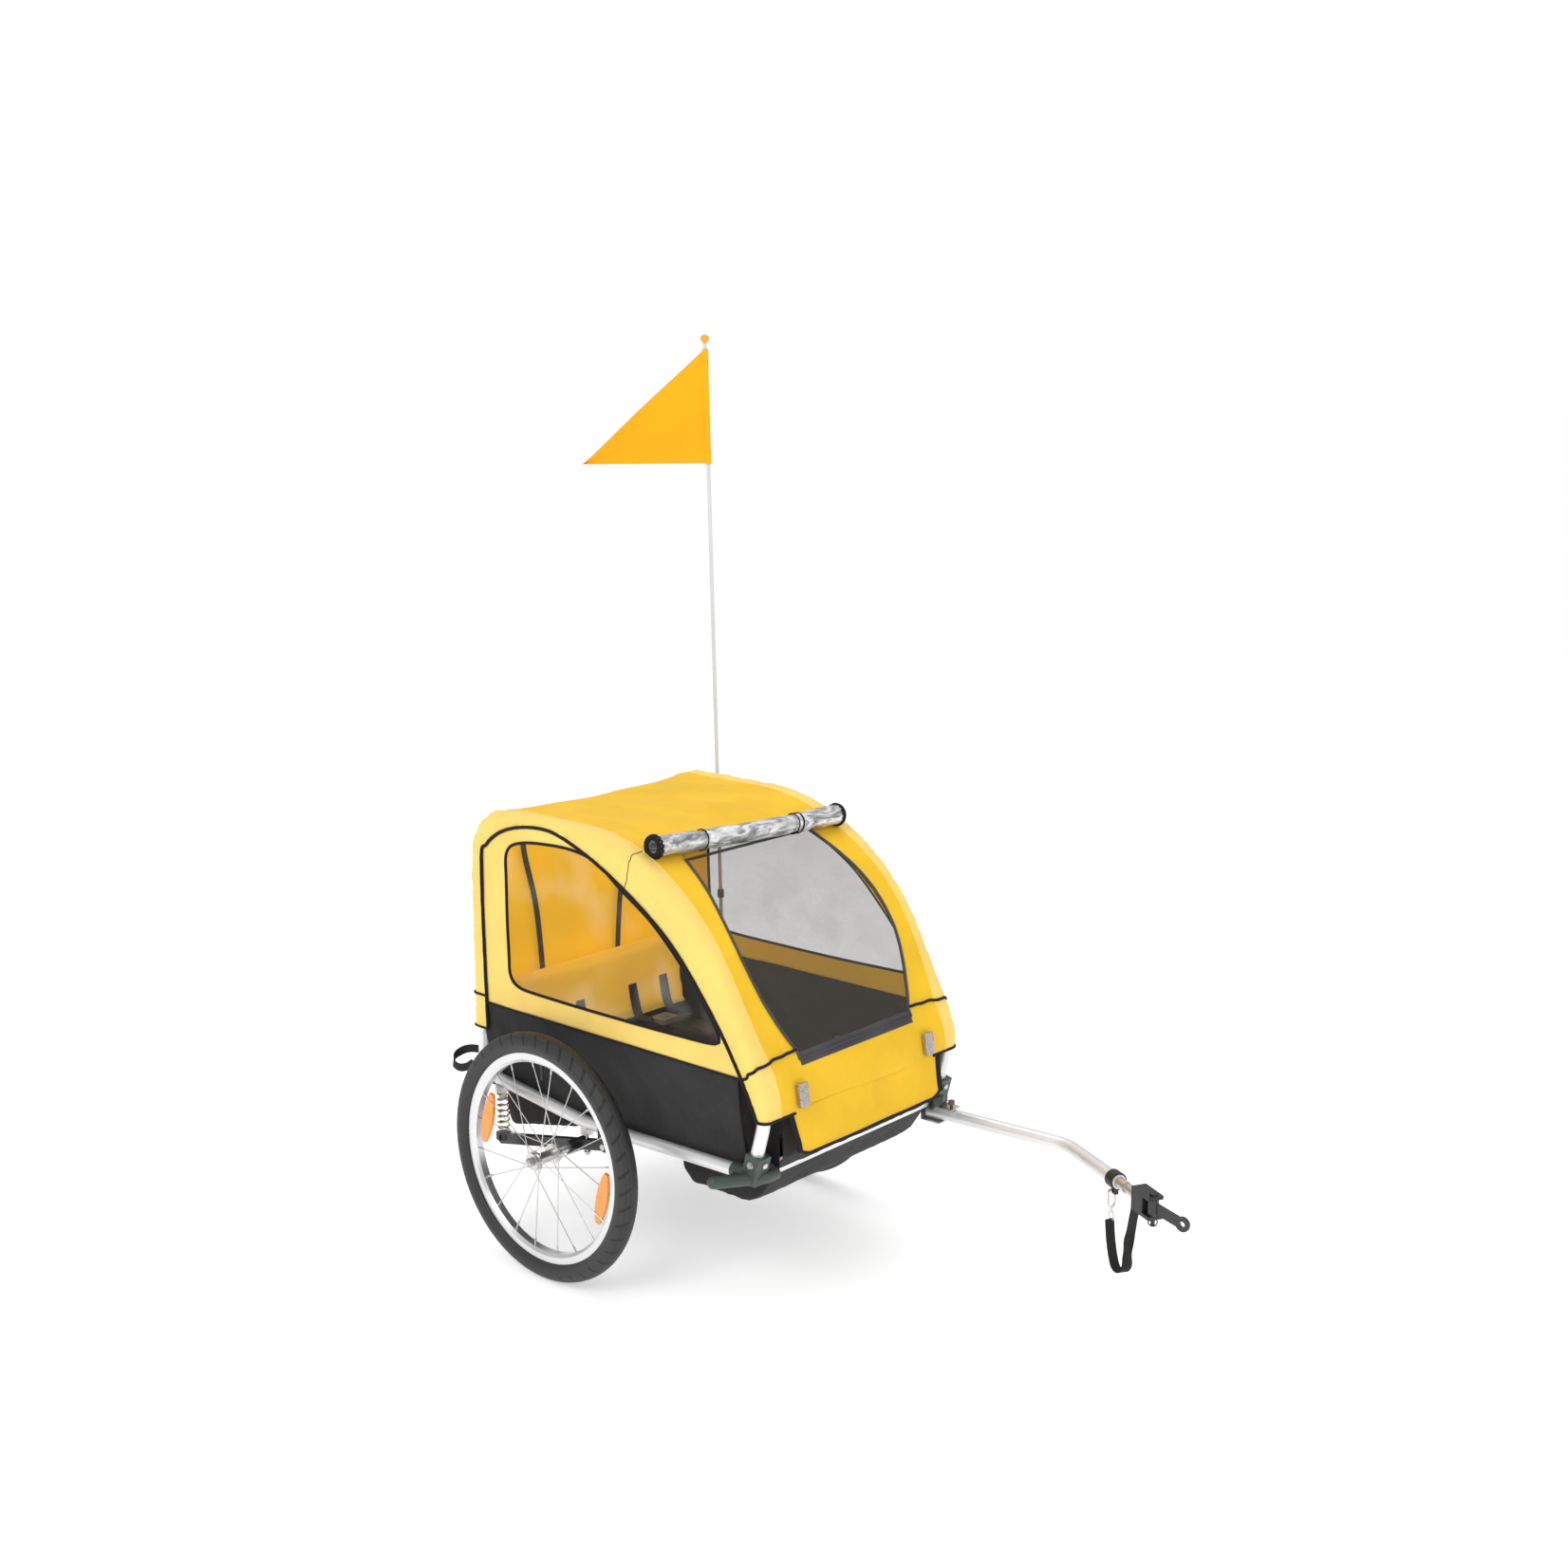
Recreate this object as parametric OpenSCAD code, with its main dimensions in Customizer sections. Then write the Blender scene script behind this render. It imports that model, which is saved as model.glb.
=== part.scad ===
// Two-wheeled child bicycle trailer.
// Frame: +X points forwards to the bicycle, +Y to the trailer's left, +Z up.
// The modules work from the wheel axle (x = 0) and the floor (z = 0);
// place() then moves everything so that the origin is under the middle of the whole trailer.

/* [Wheels] */
// Outside diameter of the tyre
tyre_d = 495; // [460:5:540]
// Width of the tyre
tyre_w = 44; // [38:1:50]
// Radius of the rim flange
rim_r = 209; // [195:1:215]
// Width of the rim over its flanges
rim_w = 25; // [22:1:30]
// Distance between the two wheel planes
track = 720; // [700:5:800]
// Number of spokes in a wheel
spoke_n = 20; // [16:4:36]
// Diameter of a spoke
spoke_d = 2; // [1.8:0.1:3]
// Distance from the wheel plane to a hub flange
flange_off = 24; // [20:1:28]
// Diameter of the wheel axle
axle_d = 12; // [10:1:15]

/* [Frame] */
// Diameter of the frame tubes
tube_d = 25; // [22:1:28]
// Wall of the frame tubes
tube_wall = 1.8; // [1.5:0.1:2.5]
// Distance between the centre planes of the two hoops and rails
hoop_span = 546; // [530:2:556]
// Height of the side rails at the wheel axle
rail_z = 300; // [290:1:310]
// Height of the front end of the side rails
rail_front_z = 310; // [300:1:320]
// Height of the rear end of the side rails
rail_rear_z = 335; // [325:1:345]
// Forward reach of the hoops, from the wheel axle
hoop_front_x = 500; // [470:1:520]
// Rearward reach of the hoops, from the wheel axle
hoop_rear_x = -264; // [-290:1:-250]
// Height of the top of the hoops
hoop_top_z = 870; // [820:1:940]

/* [Suspension] */
// Distance from the wheel axle forward to the swing-arm pivot
pivot_x = 90; // [70:1:110]
// Height of the swing-arm pivot
pivot_z = 270; // [265:1:275]
// Distance from the wheel axle back to the coil spring
spring_x = 215; // [190:1:230]
// Outside diameter of the coil spring
spring_d = 27; // [22:1:32]
// Diameter of the spring wire
spring_wire = 3.6; // [3:0.2:4.5]
// Number of coils
spring_turns = 7; // [5:1:9]

/* [Body] */
// Thickness of the canopy fabric and its binding
cloth_t = 3; // [2:0.5:4]
// Height of the seam between the yellow canopy and the black side
seam_z = 492; // [470:1:510]
// Height of the lower edge of the front flap
flap_z = 342; // [335:1:360]
// Height of the underside of the footwell
well_z = 226; // [210:1:250]
// Half width of the footwell
well_hw = 230; // [200:1:231]

/* [Towing] */
// Diameter of the tow arm
arm_d = 27; // [25:1:28]
// Height of the tow arm
arm_z = 278; // [272:1:278]
// Length of the arm from its pivot to its bend
arm_l1 = 300; // [250:5:340]
// Length of the arm from its bend to its end
arm_l2 = 190; // [150:5:230]
// Outward angle of the rear stretch of the arm
arm_out = 4; // [0:0.5:8]
// Inward angle of the front stretch of the arm
arm_in = 28; // [20:1:34]
// Radius of the hole that goes on the bicycle's rear axle
eye_r = 5.2; // [4.9:0.1:6.2]
// Thickness of the hitch tongue
tongue_t = 5; // [4:0.5:8]

/* [Flag] */
// Height of the top of the flag pole
pole_top_z = 1800; // [1500:10:1900]
// Diameter of the flag pole
pole_d = 8; // [6:0.5:10]
// Length of the flag, fore and aft
flag_l = 385; // [300:5:420]
// Height of the flag at the pole
flag_h = 236; // [200:4:260]

/* [Hidden] */
$fn = 48;
gap = 0.3;                        // air between neighbouring soft and hard pieces
run_gap = 0.05;                   // radial clearance of a running fit
axle_z = tyre_d / 2;
half_track = track / 2;
hoop_y = hoop_span / 2;
tube_r = tube_d / 2;
skin_in = tube_r + 0.6;           // canopy skin, measured out from the hoop's centre line
skin_out = skin_in + cloth_t;
side_in = hoop_y + tube_r + 0.8;  // side panel, measured out from the trailer's middle
side_out = side_in + cloth_t;

// Hoop centre line in the x-z plane, front foot to rear foot, and its bend radii
hoop_foot_x = hoop_front_x - 34;
hoop_foot_z = rail_front_z + 12;
HOOP = [[hoop_foot_x, hoop_foot_z], [hoop_front_x, 445], [hoop_front_x - 158, hoop_top_z - 124],
        [hoop_front_x - 370, hoop_top_z + 2], [hoop_rear_x, hoop_top_z + 5],
        [hoop_rear_x - 6, rail_rear_z + 12]];
HOOP_R = [130, 430, 390, 85];
hoop_lean = heading(HOOP[0], HOOP[1]);
// Rail centre line in the x-z plane
RAIL = [[hoop_rear_x - 6, rail_rear_z], [25, rail_z], [hoop_foot_x - 8, rail_front_z]];
RAIL_R = [300];

// Corner connectors
corner_w = tube_d + 9;            // width of a corner moulding's sockets
horn_d = 23;
horn_l = 78;
socket_wall = 3.5;

// Tow arm
pivot_off = 4;                    // arm pivot inboard of the hoop plane
arm_px = hoop_foot_x + 6;
arm_py = hoop_y - pivot_off;
arm_r = arm_d / 2;
ARM = [[0, 0], [arm_l1 * cos(arm_out), arm_l1 * sin(arm_out)],
       [arm_l1 * cos(arm_out) + arm_l2 * cos(arm_in), arm_l1 * sin(arm_out) - arm_l2 * sin(arm_in)]];
bolt_r = 4;                       // pivot bolts
block_l = 42;                     // hitch block
block_h = 44;
ferrule_l = 66;
hitch_x = arm_px + ARM[2][0];
hitch_y = arm_py + ARM[2][1];
// Hitch knuckle, where the tongue turns
knuckle_off = ferrule_l + block_l + 10;
knuckle_x = hitch_x + knuckle_off * cos(arm_in);
knuckle_y = hitch_y - knuckle_off * sin(arm_in);
tongue_l = 60;
tongue_drop = 16;
tongue_end_r = 14;

// Rear webbing loop and flag
loop_l = 84;
loop_droop = 26;
pole_lean = 1.7;                  // degrees, to the rear
pole_y = side_out + 1 + pole_d / 2;
pole_foot_x = -131;
pole_foot_z = 330;
ball_r = 9;

// Place of the origin: the middle of the trailer's length
front_x = knuckle_x + tongue_l + tongue_end_r;
flag_tip_x = pole_foot_x - (pole_top_z - 20 - pole_foot_z) * tan(pole_lean)
    - (flag_l + 4) * cos(pole_lean) + (flag_h + 10) * sin(pole_lean);
rear_x = min(flag_tip_x, hoop_rear_x - 6 - tube_r - loop_l);
x_shift = -(front_x + rear_x) / 2;

// ---------------------------------------------------------------- helpers

// Moves a module from the wheel axle's frame to the trailer's own frame
module place() {
    translate([x_shift, 0, 0]) children();
}

// side = -1 is the trailer's right, +1 its left
module on_side(side) {
    if (side < 0) children();
    else mirror([0, 1, 0]) children();
}

// Lays an x-y drawing, extruded to +-w/2, in the x-z plane
module slab_xz(w) {
    translate([0, w / 2, 0]) rotate([90, 0, 0]) linear_extrude(w) children();
}

// Lays an x-y drawing in the y-z plane, extruded from x = a to x = b
module slab_yz(a, b) {
    translate([a, 0, 0]) rotate([90, 0, 90]) linear_extrude(b - a) children();
}

function heading(p, q) = atan2(q[1] - p[1], q[0] - p[0]);
function wrap(a) = a > 180 ? a - 360 : a < -180 ? a + 360 : a;
function turn_at(p, i) = wrap(heading(p[i], p[i + 1]) - heading(p[i - 1], p[i]));
function setback(p, r, i) = i == 0 || i == len(p) - 1 ? 0 : r[i - 1] * tan(abs(turn_at(p, i)) / 2);
function along(p, i, s) = p[i] + s * [cos(heading(p[i], p[i + 1])), sin(heading(p[i], p[i + 1]))];
function arc_centre(p, r, i) =
    let (h = heading(p[i - 1], p[i]), s = sign(turn_at(p, i)))
    along(p, i - 1, norm(p[i] - p[i - 1]) - setback(p, r, i)) + s * r[i - 1] * [-sin(h), cos(h)];

// A bent rod in the x-y plane through the corners p with the bend radii r, longer by ext at its ends.
// Each bend is a hair thinner than the straights and runs 1 mm into them, so no two faces coincide.
lap = 1;
hair = 0.1;
module bent_rod(p, r, d, ext = 0) {
    last = len(p) - 1;
    for (i = [0:last - 1]) {
        a = setback(p, r, i) - (i == 0 ? ext : 0);
        b = norm(p[i + 1] - p[i]) - setback(p, r, i + 1) + (i + 1 == last ? ext : 0);
        start = along(p, i, a);
        translate([start[0], start[1], 0]) rotate([0, 0, heading(p[i], p[i + 1])])
            rotate([0, 90, 0]) rotate([0, 0, 30]) cylinder(d = d, h = b - a);
    }
    for (i = [1:last - 1]) {
        t = turn_at(p, i);
        c = arc_centre(p, r, i);
        more = 57.3 * lap / r[i - 1];
        first = heading(p[i - 1], p[i]) - sign(t) * 90 + (t < 0 ? t : 0) - more;
        translate([c[0], c[1], 0]) rotate([0, 0, first]) rotate_extrude(angle = abs(t) + 2 * more)
            translate([r[i - 1], 0]) circle(d = d - hair);
    }
}

module bent_tube(p, r, d, wall) {
    difference() {
        bent_rod(p, r, d);
        bent_rod(p, r, d - 2 * wall, 1);
    }
}

// Stands an x-y drawing up in the x-z plane at y
module upright(y) {
    translate([0, y, 0]) rotate([90, 0, 0]) children();
}

// Points of a rounded path, offset by d to its right (outwards, for the hoop)
function arc_points(p, r, i, d, n) =
    let (t = turn_at(p, i), c = arc_centre(p, r, i), a0 = heading(p[i - 1], p[i]) - sign(t) * 90)
    [for (k = [0:n]) c + (r[i - 1] + sign(t) * d) * [cos(a0 + t * k / n), sin(a0 + t * k / n)]];
function end_point(p, i, j, d) = p[i] + d * [sin(heading(p[min(i, j)], p[max(i, j)])),
                                            -cos(heading(p[min(i, j)], p[max(i, j)]))];
function offset_path(p, r, d, n = 8) = concat(
    [end_point(p, 0, 1, d)],
    [for (i = [1:len(p) - 2]) for (q = arc_points(p, r, i, d, n)) q],
    [end_point(p, len(p) - 1, len(p) - 2, d)]);
function backwards(v) = [for (i = [len(v) - 1:-1:0]) v[i]];

// A swept bar of elliptical section (half axes a along side, b across) through the points v
function unit(v) = v / norm(v);
function tangent(v, i) = unit(v[min(i + 1, len(v) - 1)] - v[max(i - 1, 0)]);
module sweep(v, a, b, side, sides = 8) {
    rings = [for (i = [0:len(v) - 1]) let (t = tangent(v, i), w = unit(cross(t, side)), u = cross(w, t))
             for (k = [0:sides - 1]) v[i] + a * cos(360 * k / sides) * u + b * sin(360 * k / sides) * w];
    n = len(v);
    s = sides;
    polyhedron(points = rings, faces = concat(
        [for (k = [1:s - 2]) [0, k, k + 1]],
        [for (k = [1:s - 2]) [(n - 1) * s, (n - 1) * s + k + 1, (n - 1) * s + k]],
        [for (i = [0:n - 2]) for (k = [0:s - 1]) [i * s + k, (i + 1) * s + k, (i + 1) * s + (k + 1) % s]],
        [for (i = [0:n - 2]) for (k = [0:s - 1]) [i * s + k, (i + 1) * s + (k + 1) % s, i * s + (k + 1) % s]]));
}

// ---------------------------------------------------------------- frame

module side_rail(side) {
    color("silver") upright(side * hoop_y) bent_tube(RAIL, RAIL_R, tube_d, tube_wall);
}

module hoop(side) {
    color("silver") upright(side * hoop_y) bent_tube(HOOP, HOOP_R, tube_d, tube_wall);
}

// A straight tube across the trailer, between the corner mouldings
module cross_tube(x, z, half) {
    color("silver") translate([x, half, z]) rotate([90, 0, 0]) difference() {
        cylinder(d = tube_d, h = 2 * half);
        translate([0, 0, -1]) cylinder(d = tube_d - 2 * tube_wall, h = 2 * half + 2);
    }
}

spreader_x = -180;
spreader_z = hoop_top_z - 10;
module roof_spreader() {
    color("silver") difference() {
        translate([spreader_x, hoop_y - tube_r - 0.4, spreader_z]) rotate([90, 0, 0])
            cylinder(d = 19, h = 2 * (hoop_y - tube_r - 0.4));
        translate([spreader_x, hoop_y, spreader_z]) rotate([90, 0, 0])
            cylinder(d = 16, h = 2 * hoop_y);
    }
}

front_cross_x = hoop_foot_x + 2;
front_cross_z = rail_front_z;
rear_cross_x = hoop_rear_x - 6;
rear_cross_z = rail_rear_z;
cross_half = hoop_y - tube_r - 4;
socket_d = tube_d + 0.1;
rail_rise = heading(RAIL[1], RAIL[2]);
rail_fall = heading(RAIL[0], RAIL[1]);
corner_low_z = rail_front_z - 14;

// A rod of diameter d from p, in the x-z plane of the hoop, l long at the heading a
module rod_from(x, z, a, d, l) {
    translate([x, -hoop_y, z]) rotate([0, -a, 0]) rotate([0, 90, 0]) cylinder(d = d, h = l);
}

// Front corner moulding: rail, upright and cross-tube sockets, and the swept-back bumper horn
horn_x = hoop_foot_x + 17;
horn_z = rail_front_z - 3;
HORN = [[horn_x, -hoop_y + 42], [horn_x, -hoop_y + 12], [hoop_foot_x - 37, -hoop_y - 67]];
module front_corner() {
    color("#3c4a44") difference() {
        union() {
            rod_from(hoop_foot_x - 8, rail_front_z, 180 + rail_rise, corner_w - 3, 40);
            translate([hoop_foot_x - 14, -hoop_y - 17, corner_low_z]) cube([31, 34, 22]);
            translate([hoop_foot_x, -hoop_y, rail_front_z]) rotate([0, 90 - hoop_lean, 0])
                translate([-16, -17, 2]) cube([32, 34, 42]);
            translate([front_cross_x, -hoop_y + 42, front_cross_z]) rotate([90, 0, 0])
                cylinder(d = corner_w - 4, h = 44);
            translate([0, 0, horn_z]) bent_rod(HORN, [30], horn_d);
            translate([HORN[2][0], HORN[2][1], horn_z]) sphere(d = horn_d + 0.6);
            translate([0, 0, horn_z - 6]) linear_extrude(12) polygon([[hoop_foot_x - 40, -hoop_y],
                HORN[2] + [14, 12], [horn_x, -hoop_y]]);
        }
        translate([0, 0, corner_low_z - 50]) cube([1400, 1400, 100], center = true);
        translate([front_cross_x, -hoop_y + 43, front_cross_z]) rotate([90, 0, 0])
            cylinder(d = socket_d, h = 43 - (hoop_y - cross_half));
        rod_from(hoop_foot_x - 8, rail_front_z, 180 + rail_rise, socket_d, 60);
        rod_from(hoop_foot_x, hoop_foot_z, hoop_lean, socket_d, 60);
    }
}

// Rear corner moulding
rear_socket_l = 36;
module rear_corner() {
    color("#3c4a44") difference() {
        union() {
            translate([rear_cross_x - 17, -hoop_y - 17, rail_rear_z - 17]) cube([34, 34, 30]);
            rod_from(rear_cross_x + 2, rail_rear_z, rail_fall, corner_w - 2, rear_socket_l);
            translate([rear_cross_x, -hoop_y, rail_rear_z + 2]) cylinder(d = corner_w - 1, h = 30);
            translate([rear_cross_x, -hoop_y + 42, rear_cross_z]) rotate([90, 0, 0])
                cylinder(d = corner_w - 3, h = 34);
        }
        translate([rear_cross_x, -hoop_y + 43, rear_cross_z]) rotate([90, 0, 0])
            cylinder(d = socket_d, h = 43 - (hoop_y - cross_half));
        rod_from(RAIL[0][0], rail_rear_z, rail_fall, socket_d, 60);
        translate([HOOP[5][0], -hoop_y, hoop_foot_rear]) cylinder(d = socket_d + 0.6, h = 60);
    }
}
hoop_foot_rear = rail_rear_z + 12;

module rear_corners() {
    for (side = [-1, 1]) on_side(side) rear_corner();
}

// Hexagon-head screws: one in each socket's outer face
module screw_out(x, z) {
    translate([x, -hoop_y - corner_w / 2, z]) rotate([90, 0, 0]) {
        cylinder(d = 11, h = 4.5, $fn = 6);
        cylinder(d = 13, h = 1);
    }
}

module frame_screws() {
    color("gainsboro") for (side = [-1, 1]) on_side(side) {
        screw_out(hoop_foot_x + 7, rail_front_z + 26);
        screw_out(rear_cross_x, rail_rear_z);
        translate([hoop_foot_x, -hoop_y, rail_front_z]) rotate([0, 90 - hoop_lean, 0]) translate([16, 2, 30])
            rotate([0, 90, 0]) {
                cylinder(d = 12, h = 3);
                translate([0, 0, 2.9]) cylinder(d1 = 12, d2 = 7, h = 2);
            }
    }
}

// ---------------------------------------------------------------- suspension

arm_y = hoop_y + 3;               // swing arm's middle plane
swing_w = 14;
swing_h = 20;
clevis_t = 3;
clevis_gap = 0.8;
rear_arm_z = 206;                 // swing arm under the spring
seat_z = rear_arm_z + swing_h / 2 + 2;
rail_slope = (rail_rear_z - rail_z) / (RAIL[1][0] - RAIL[0][0]);
rail_at_spring = rail_z + rail_slope * (RAIL[1][0] + spring_x);
cap_z = rail_at_spring - tube_r - 3;

// Saddle and two cheeks under the rail, at the swing arm's pivot
module suspension_bracket() {
    cheek_in = swing_w / 2 + clevis_gap;
    color("#2b2d2e") difference() {
        union() {
            translate([pivot_x - 17, -arm_y - cheek_in - clevis_t, pivot_z + swing_h / 2 + 2])
                cube([34, 2 * (cheek_in + clevis_t), rail_z + 4 - (pivot_z + swing_h / 2 + 2)]);
            for (s = [-1, 1])
                translate([pivot_x, -arm_y + s * (cheek_in + clevis_t / 2), 0]) slab_xz(clevis_t) difference() {
                    union() {
                        translate([-17, pivot_z]) square([34, rail_z + 4 - pivot_z]);
                        translate([0, pivot_z]) circle(r = 12);
                        translate([-12, pivot_z - 2]) square([24, 6]);
                    }
                    translate([0, pivot_z]) circle(r = bolt_r + 0.02);
                }
        }
        rod_from(RAIL[2][0], rail_front_z, 180 + rail_rise, socket_d, 420);
    }
}

module suspension_brackets() {
    for (side = [-1, 1]) on_side(side) suspension_bracket();
}

// Pivot bolt with its head and nut, and the hanging bolt whose nut stops the arm from drooping further
stop_x = 32;
stop_r = 3;
bar_slope = (pivot_z - rear_arm_z) / (pivot_x + spring_x);
arm_at_stop = rear_arm_z + bar_slope * (spring_x + stop_x);
module suspension_bolts() {
    reach = swing_w / 2 + clevis_gap + clevis_t;
    low = arm_at_stop - swing_h / 2 - 3;
    color("silver") for (side = [-1, 1]) on_side(side) {
        translate([pivot_x, -arm_y + reach, pivot_z]) rotate([90, 0, 0]) cylinder(r = bolt_r, h = 2 * reach);
        translate([pivot_x, -arm_y - reach, pivot_z]) rotate([90, 0, 0]) cylinder(d = 13, h = 5, $fn = 6);
        translate([pivot_x, -arm_y + reach + 6, pivot_z]) rotate([90, 0, 0]) cylinder(d = 13, h = 6, $fn = 6);
        difference() {
            union() {
                translate([stop_x, -arm_y, low - 8]) {
                    cylinder(r = stop_r, h = rail_z - low);
                    cylinder(d = 11, h = 5, $fn = 6);
                    translate([0, 0, 5]) cylinder(d = 13, h = 1.2);
                }
                translate([stop_x - 9, -arm_y - 9, arm_at_stop + swing_h / 2 + 10])
                    cube([18, 18, rail_z - 2 - (arm_at_stop + swing_h / 2 + 10)]);
            }
            rod_from(RAIL[2][0], rail_front_z, 180 + rail_rise, socket_d, 470);
        }
    }
}

// Flat bar with the pivot bore, the axle boss and the spring seat
module swing_arm() {
    bar = [[pivot_x, pivot_z], [-spring_x, rear_arm_z]];
    color("#26282a") difference() {
        union() {
            translate([0, -arm_y, 0]) slab_xz(swing_w) {
                translate(bar[0]) rotate(heading(bar[0], bar[1]))
                    translate([0, -swing_h / 2]) square([norm(bar[1] - bar[0]), swing_h]);
                for (q = bar) translate(q) circle(d = swing_h + 1);
            }
            translate([0, -arm_y + 22, axle_z]) rotate([90, 0, 0]) cylinder(d = 26, h = 44);
            translate([-spring_x, -arm_y, rear_arm_z]) cylinder(d = spring_d + 5, h = seat_z - rear_arm_z);
        }
        translate([pivot_x, -arm_y + swing_w, pivot_z]) rotate([90, 0, 0])
            cylinder(r = bolt_r + run_gap, h = 2 * swing_w);
        translate([stop_x, -arm_y, arm_at_stop - 40]) cylinder(d = 10.6, h = 80);
        translate([0, -arm_y + 30, axle_z]) rotate([90, 0, 0]) cylinder(d = axle_d, h = 60);
    }
}

// Steel axle: clamped in the swing arm, with a cap nut outside the hub
module wheel_axle() {
    inner = arm_y - 24;
    outer = half_track + 34;
    color("#3a3d40") translate([0, -inner, axle_z]) rotate([90, 0, 0]) {
        cylinder(d = axle_d, h = outer - inner);
        translate([0, 0, outer - inner]) cylinder(d = 17, h = 7, $fn = 6);
        translate([0, 0, outer - inner + 7]) cylinder(d1 = 15, d2 = 9, h = 5);
        translate([0, 0, -6]) cylinder(d = 19, h = 6, $fn = 6);
        translate([0, 0, arm_y + 22 - inner]) cylinder(d = 16, h = half_track - 34.2 - arm_y - 22);
    }
}

// Steel helix with closed ends, drawn as a swept wire
module coil_spring() {
    n = spring_turns * 14;
    coil_r = (spring_d - spring_wire) / 2;
    low = seat_z + spring_wire / 2 + 3 * gap;
    high = cap_z - 6 - spring_wire / 2 - gap;
    color("silver") translate([-spring_x, -arm_y, 0])
        sweep([for (i = [0:n]) let (a = 360 * spring_turns * i / n)
               [coil_r * cos(a), coil_r * sin(a), low + (high - low) * i / n]],
              spring_wire / 2, spring_wire / 2, [0, 0, 1], 8);
}

// White plastic cap and its stud, between each spring and the rail
module spring_caps() {
    color("white") for (side = [-1, 1]) on_side(side) difference() {
        translate([-spring_x, -arm_y, cap_z - 6]) {
            cylinder(d = spring_d + 3, h = 10);
            translate([0, 0, -18]) cylinder(d = spring_d - 2 * spring_wire - 3, h = 18);
        }
        rod_from(RAIL[0][0], rail_rear_z, rail_fall, socket_d, 200);
    }
}

// ---------------------------------------------------------------- wheels

// Turns a profile drawn as (radius, across) around the wheel's axis
module around_axle(side) {
    translate([0, side * half_track, axle_z]) rotate([90, 0, 0]) rotate_extrude($fn = 96) children();
}

casing_r = tyre_w / 2;
casing_mid = axle_z - casing_r;
bead_r = rim_r - 5;
module tyre(side) {
    color("#1b1b1c") around_axle(side) difference() {
        translate([casing_mid, 0]) circle(r = casing_r);
        translate([casing_mid, 0]) circle(r = casing_r - 3.4);
        translate([bead_r - 10, -casing_r]) square([10, tyre_w]);
        translate([bead_r - 1, -6]) square([16, 12]);
        for (s = [-1, 1]) translate([bead_r - 1, s > 0 ? rim_w / 2 - 2.2 : -casing_r - rim_w / 2 + 2.2])
            square([rim_r + 0.6 - bead_r + 1, casing_r]);
    }
}

module inner_tube(side) {
    tube_high = axle_z - 3.8;
    tube_low = max(axle_z - tyre_w + 3.8, rim_r - 1.7);
    tube_body = (tube_high - tube_low) / 2;
    tube_mid = (tube_high + tube_low) / 2;
    color("#222222") difference() {
        union() {
            around_axle(side) translate([tube_mid, 0]) circle(r = tube_body);
            translate([0, side * half_track, axle_z + rim_r - 52]) cylinder(d = 6, h = 60);
        }
        around_axle(side) translate([tube_mid, 0]) circle(r = tube_body - 1.2);
    }
}

// Box-section rim with its two flanges and the valve hole
rim_well = rim_r - 8;
rim_inner = rim_r - 19;
module rim(side) {
    half = rim_w / 2;
    color("gainsboro") difference() {
        around_axle(side) difference() {
            polygon([[rim_inner, -half + 5], [rim_inner, half - 5], [rim_inner + 6, half], [rim_r, half],
                     [rim_r, half - 2], [bead_r - 0.4, half - 2], [rim_well, 5], [rim_well, -5],
                     [bead_r - 0.4, -half + 2], [rim_r, -half + 2], [rim_r, -half], [rim_inner + 6, -half]]);
            translate([rim_inner + 1.6, -half + 6]) square([rim_well - rim_inner - 3.2, rim_w - 12]);
        }
        translate([0, side * half_track, axle_z + rim_inner - 5]) cylinder(d = 7, h = 30);
    }
}

// Spokes cross three others: each leaves its flange hole at a slant
hole_r = 16;
cross_turn = 54;
module spokes(side) {
    color("lightgray") translate([0, side * half_track, axle_z]) rotate([90, 0, 0])
        for (i = [0:spoke_n - 1]) {
            face = i % 2 == 0 ? 1 : -1;
            lean = floor(i / 2) % 2 == 0 ? 1 : -1;
            a = 360 * (i + 0.5) / spoke_n;
            b = a - lean * cross_turn;
            foot = [hole_r * cos(b), hole_r * sin(b), face * flange_off];
            tip = [(rim_inner + 0.6) * cos(a), (rim_inner + 0.6) * sin(a), face * 1.5];
            run = tip - foot;
            turned = [0, acos(run[2] / norm(run)), atan2(run[1], run[0])];
            translate(foot) rotate(turned) cylinder(d = spoke_d, h = norm(run), $fn = 16);
            translate(foot + run * (1 - 13 / norm(run))) rotate(turned) cylinder(d = 4, h = 12.2, $fn = 16);
        }
}

hub_half = 32;
bearing_w = 8;
bearing_r = 14;
module hub(side) {
    color("silver") around_axle(side) difference() {
        union() {
            translate([0, -hub_half]) square([10.5, 2 * hub_half]);
            for (s = [-1, 1]) {
                translate([0, s > 0 ? hub_half - bearing_w - 3 : -hub_half]) square([17, bearing_w + 3]);
                translate([0, s * flange_off - 1.5]) square([hole_r + 4, 3]);
            }
        }
        translate([-1, -hub_half - 1]) square([axle_d / 2 + 2.5, 2 * hub_half + 2]);
        for (s = [-1, 1]) translate([-1, s > 0 ? hub_half - bearing_w : -hub_half - 1])
            square([bearing_r + 1, bearing_w + 1]);
    }
}

module hub_bearings(side) {
    color("dimgray") around_axle(side) for (s = [-1, 1])
        translate([axle_d / 2 + run_gap, s > 0 ? hub_half - bearing_w : -hub_half])
            square([bearing_r - axle_d / 2 - run_gap, bearing_w]);
}

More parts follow.
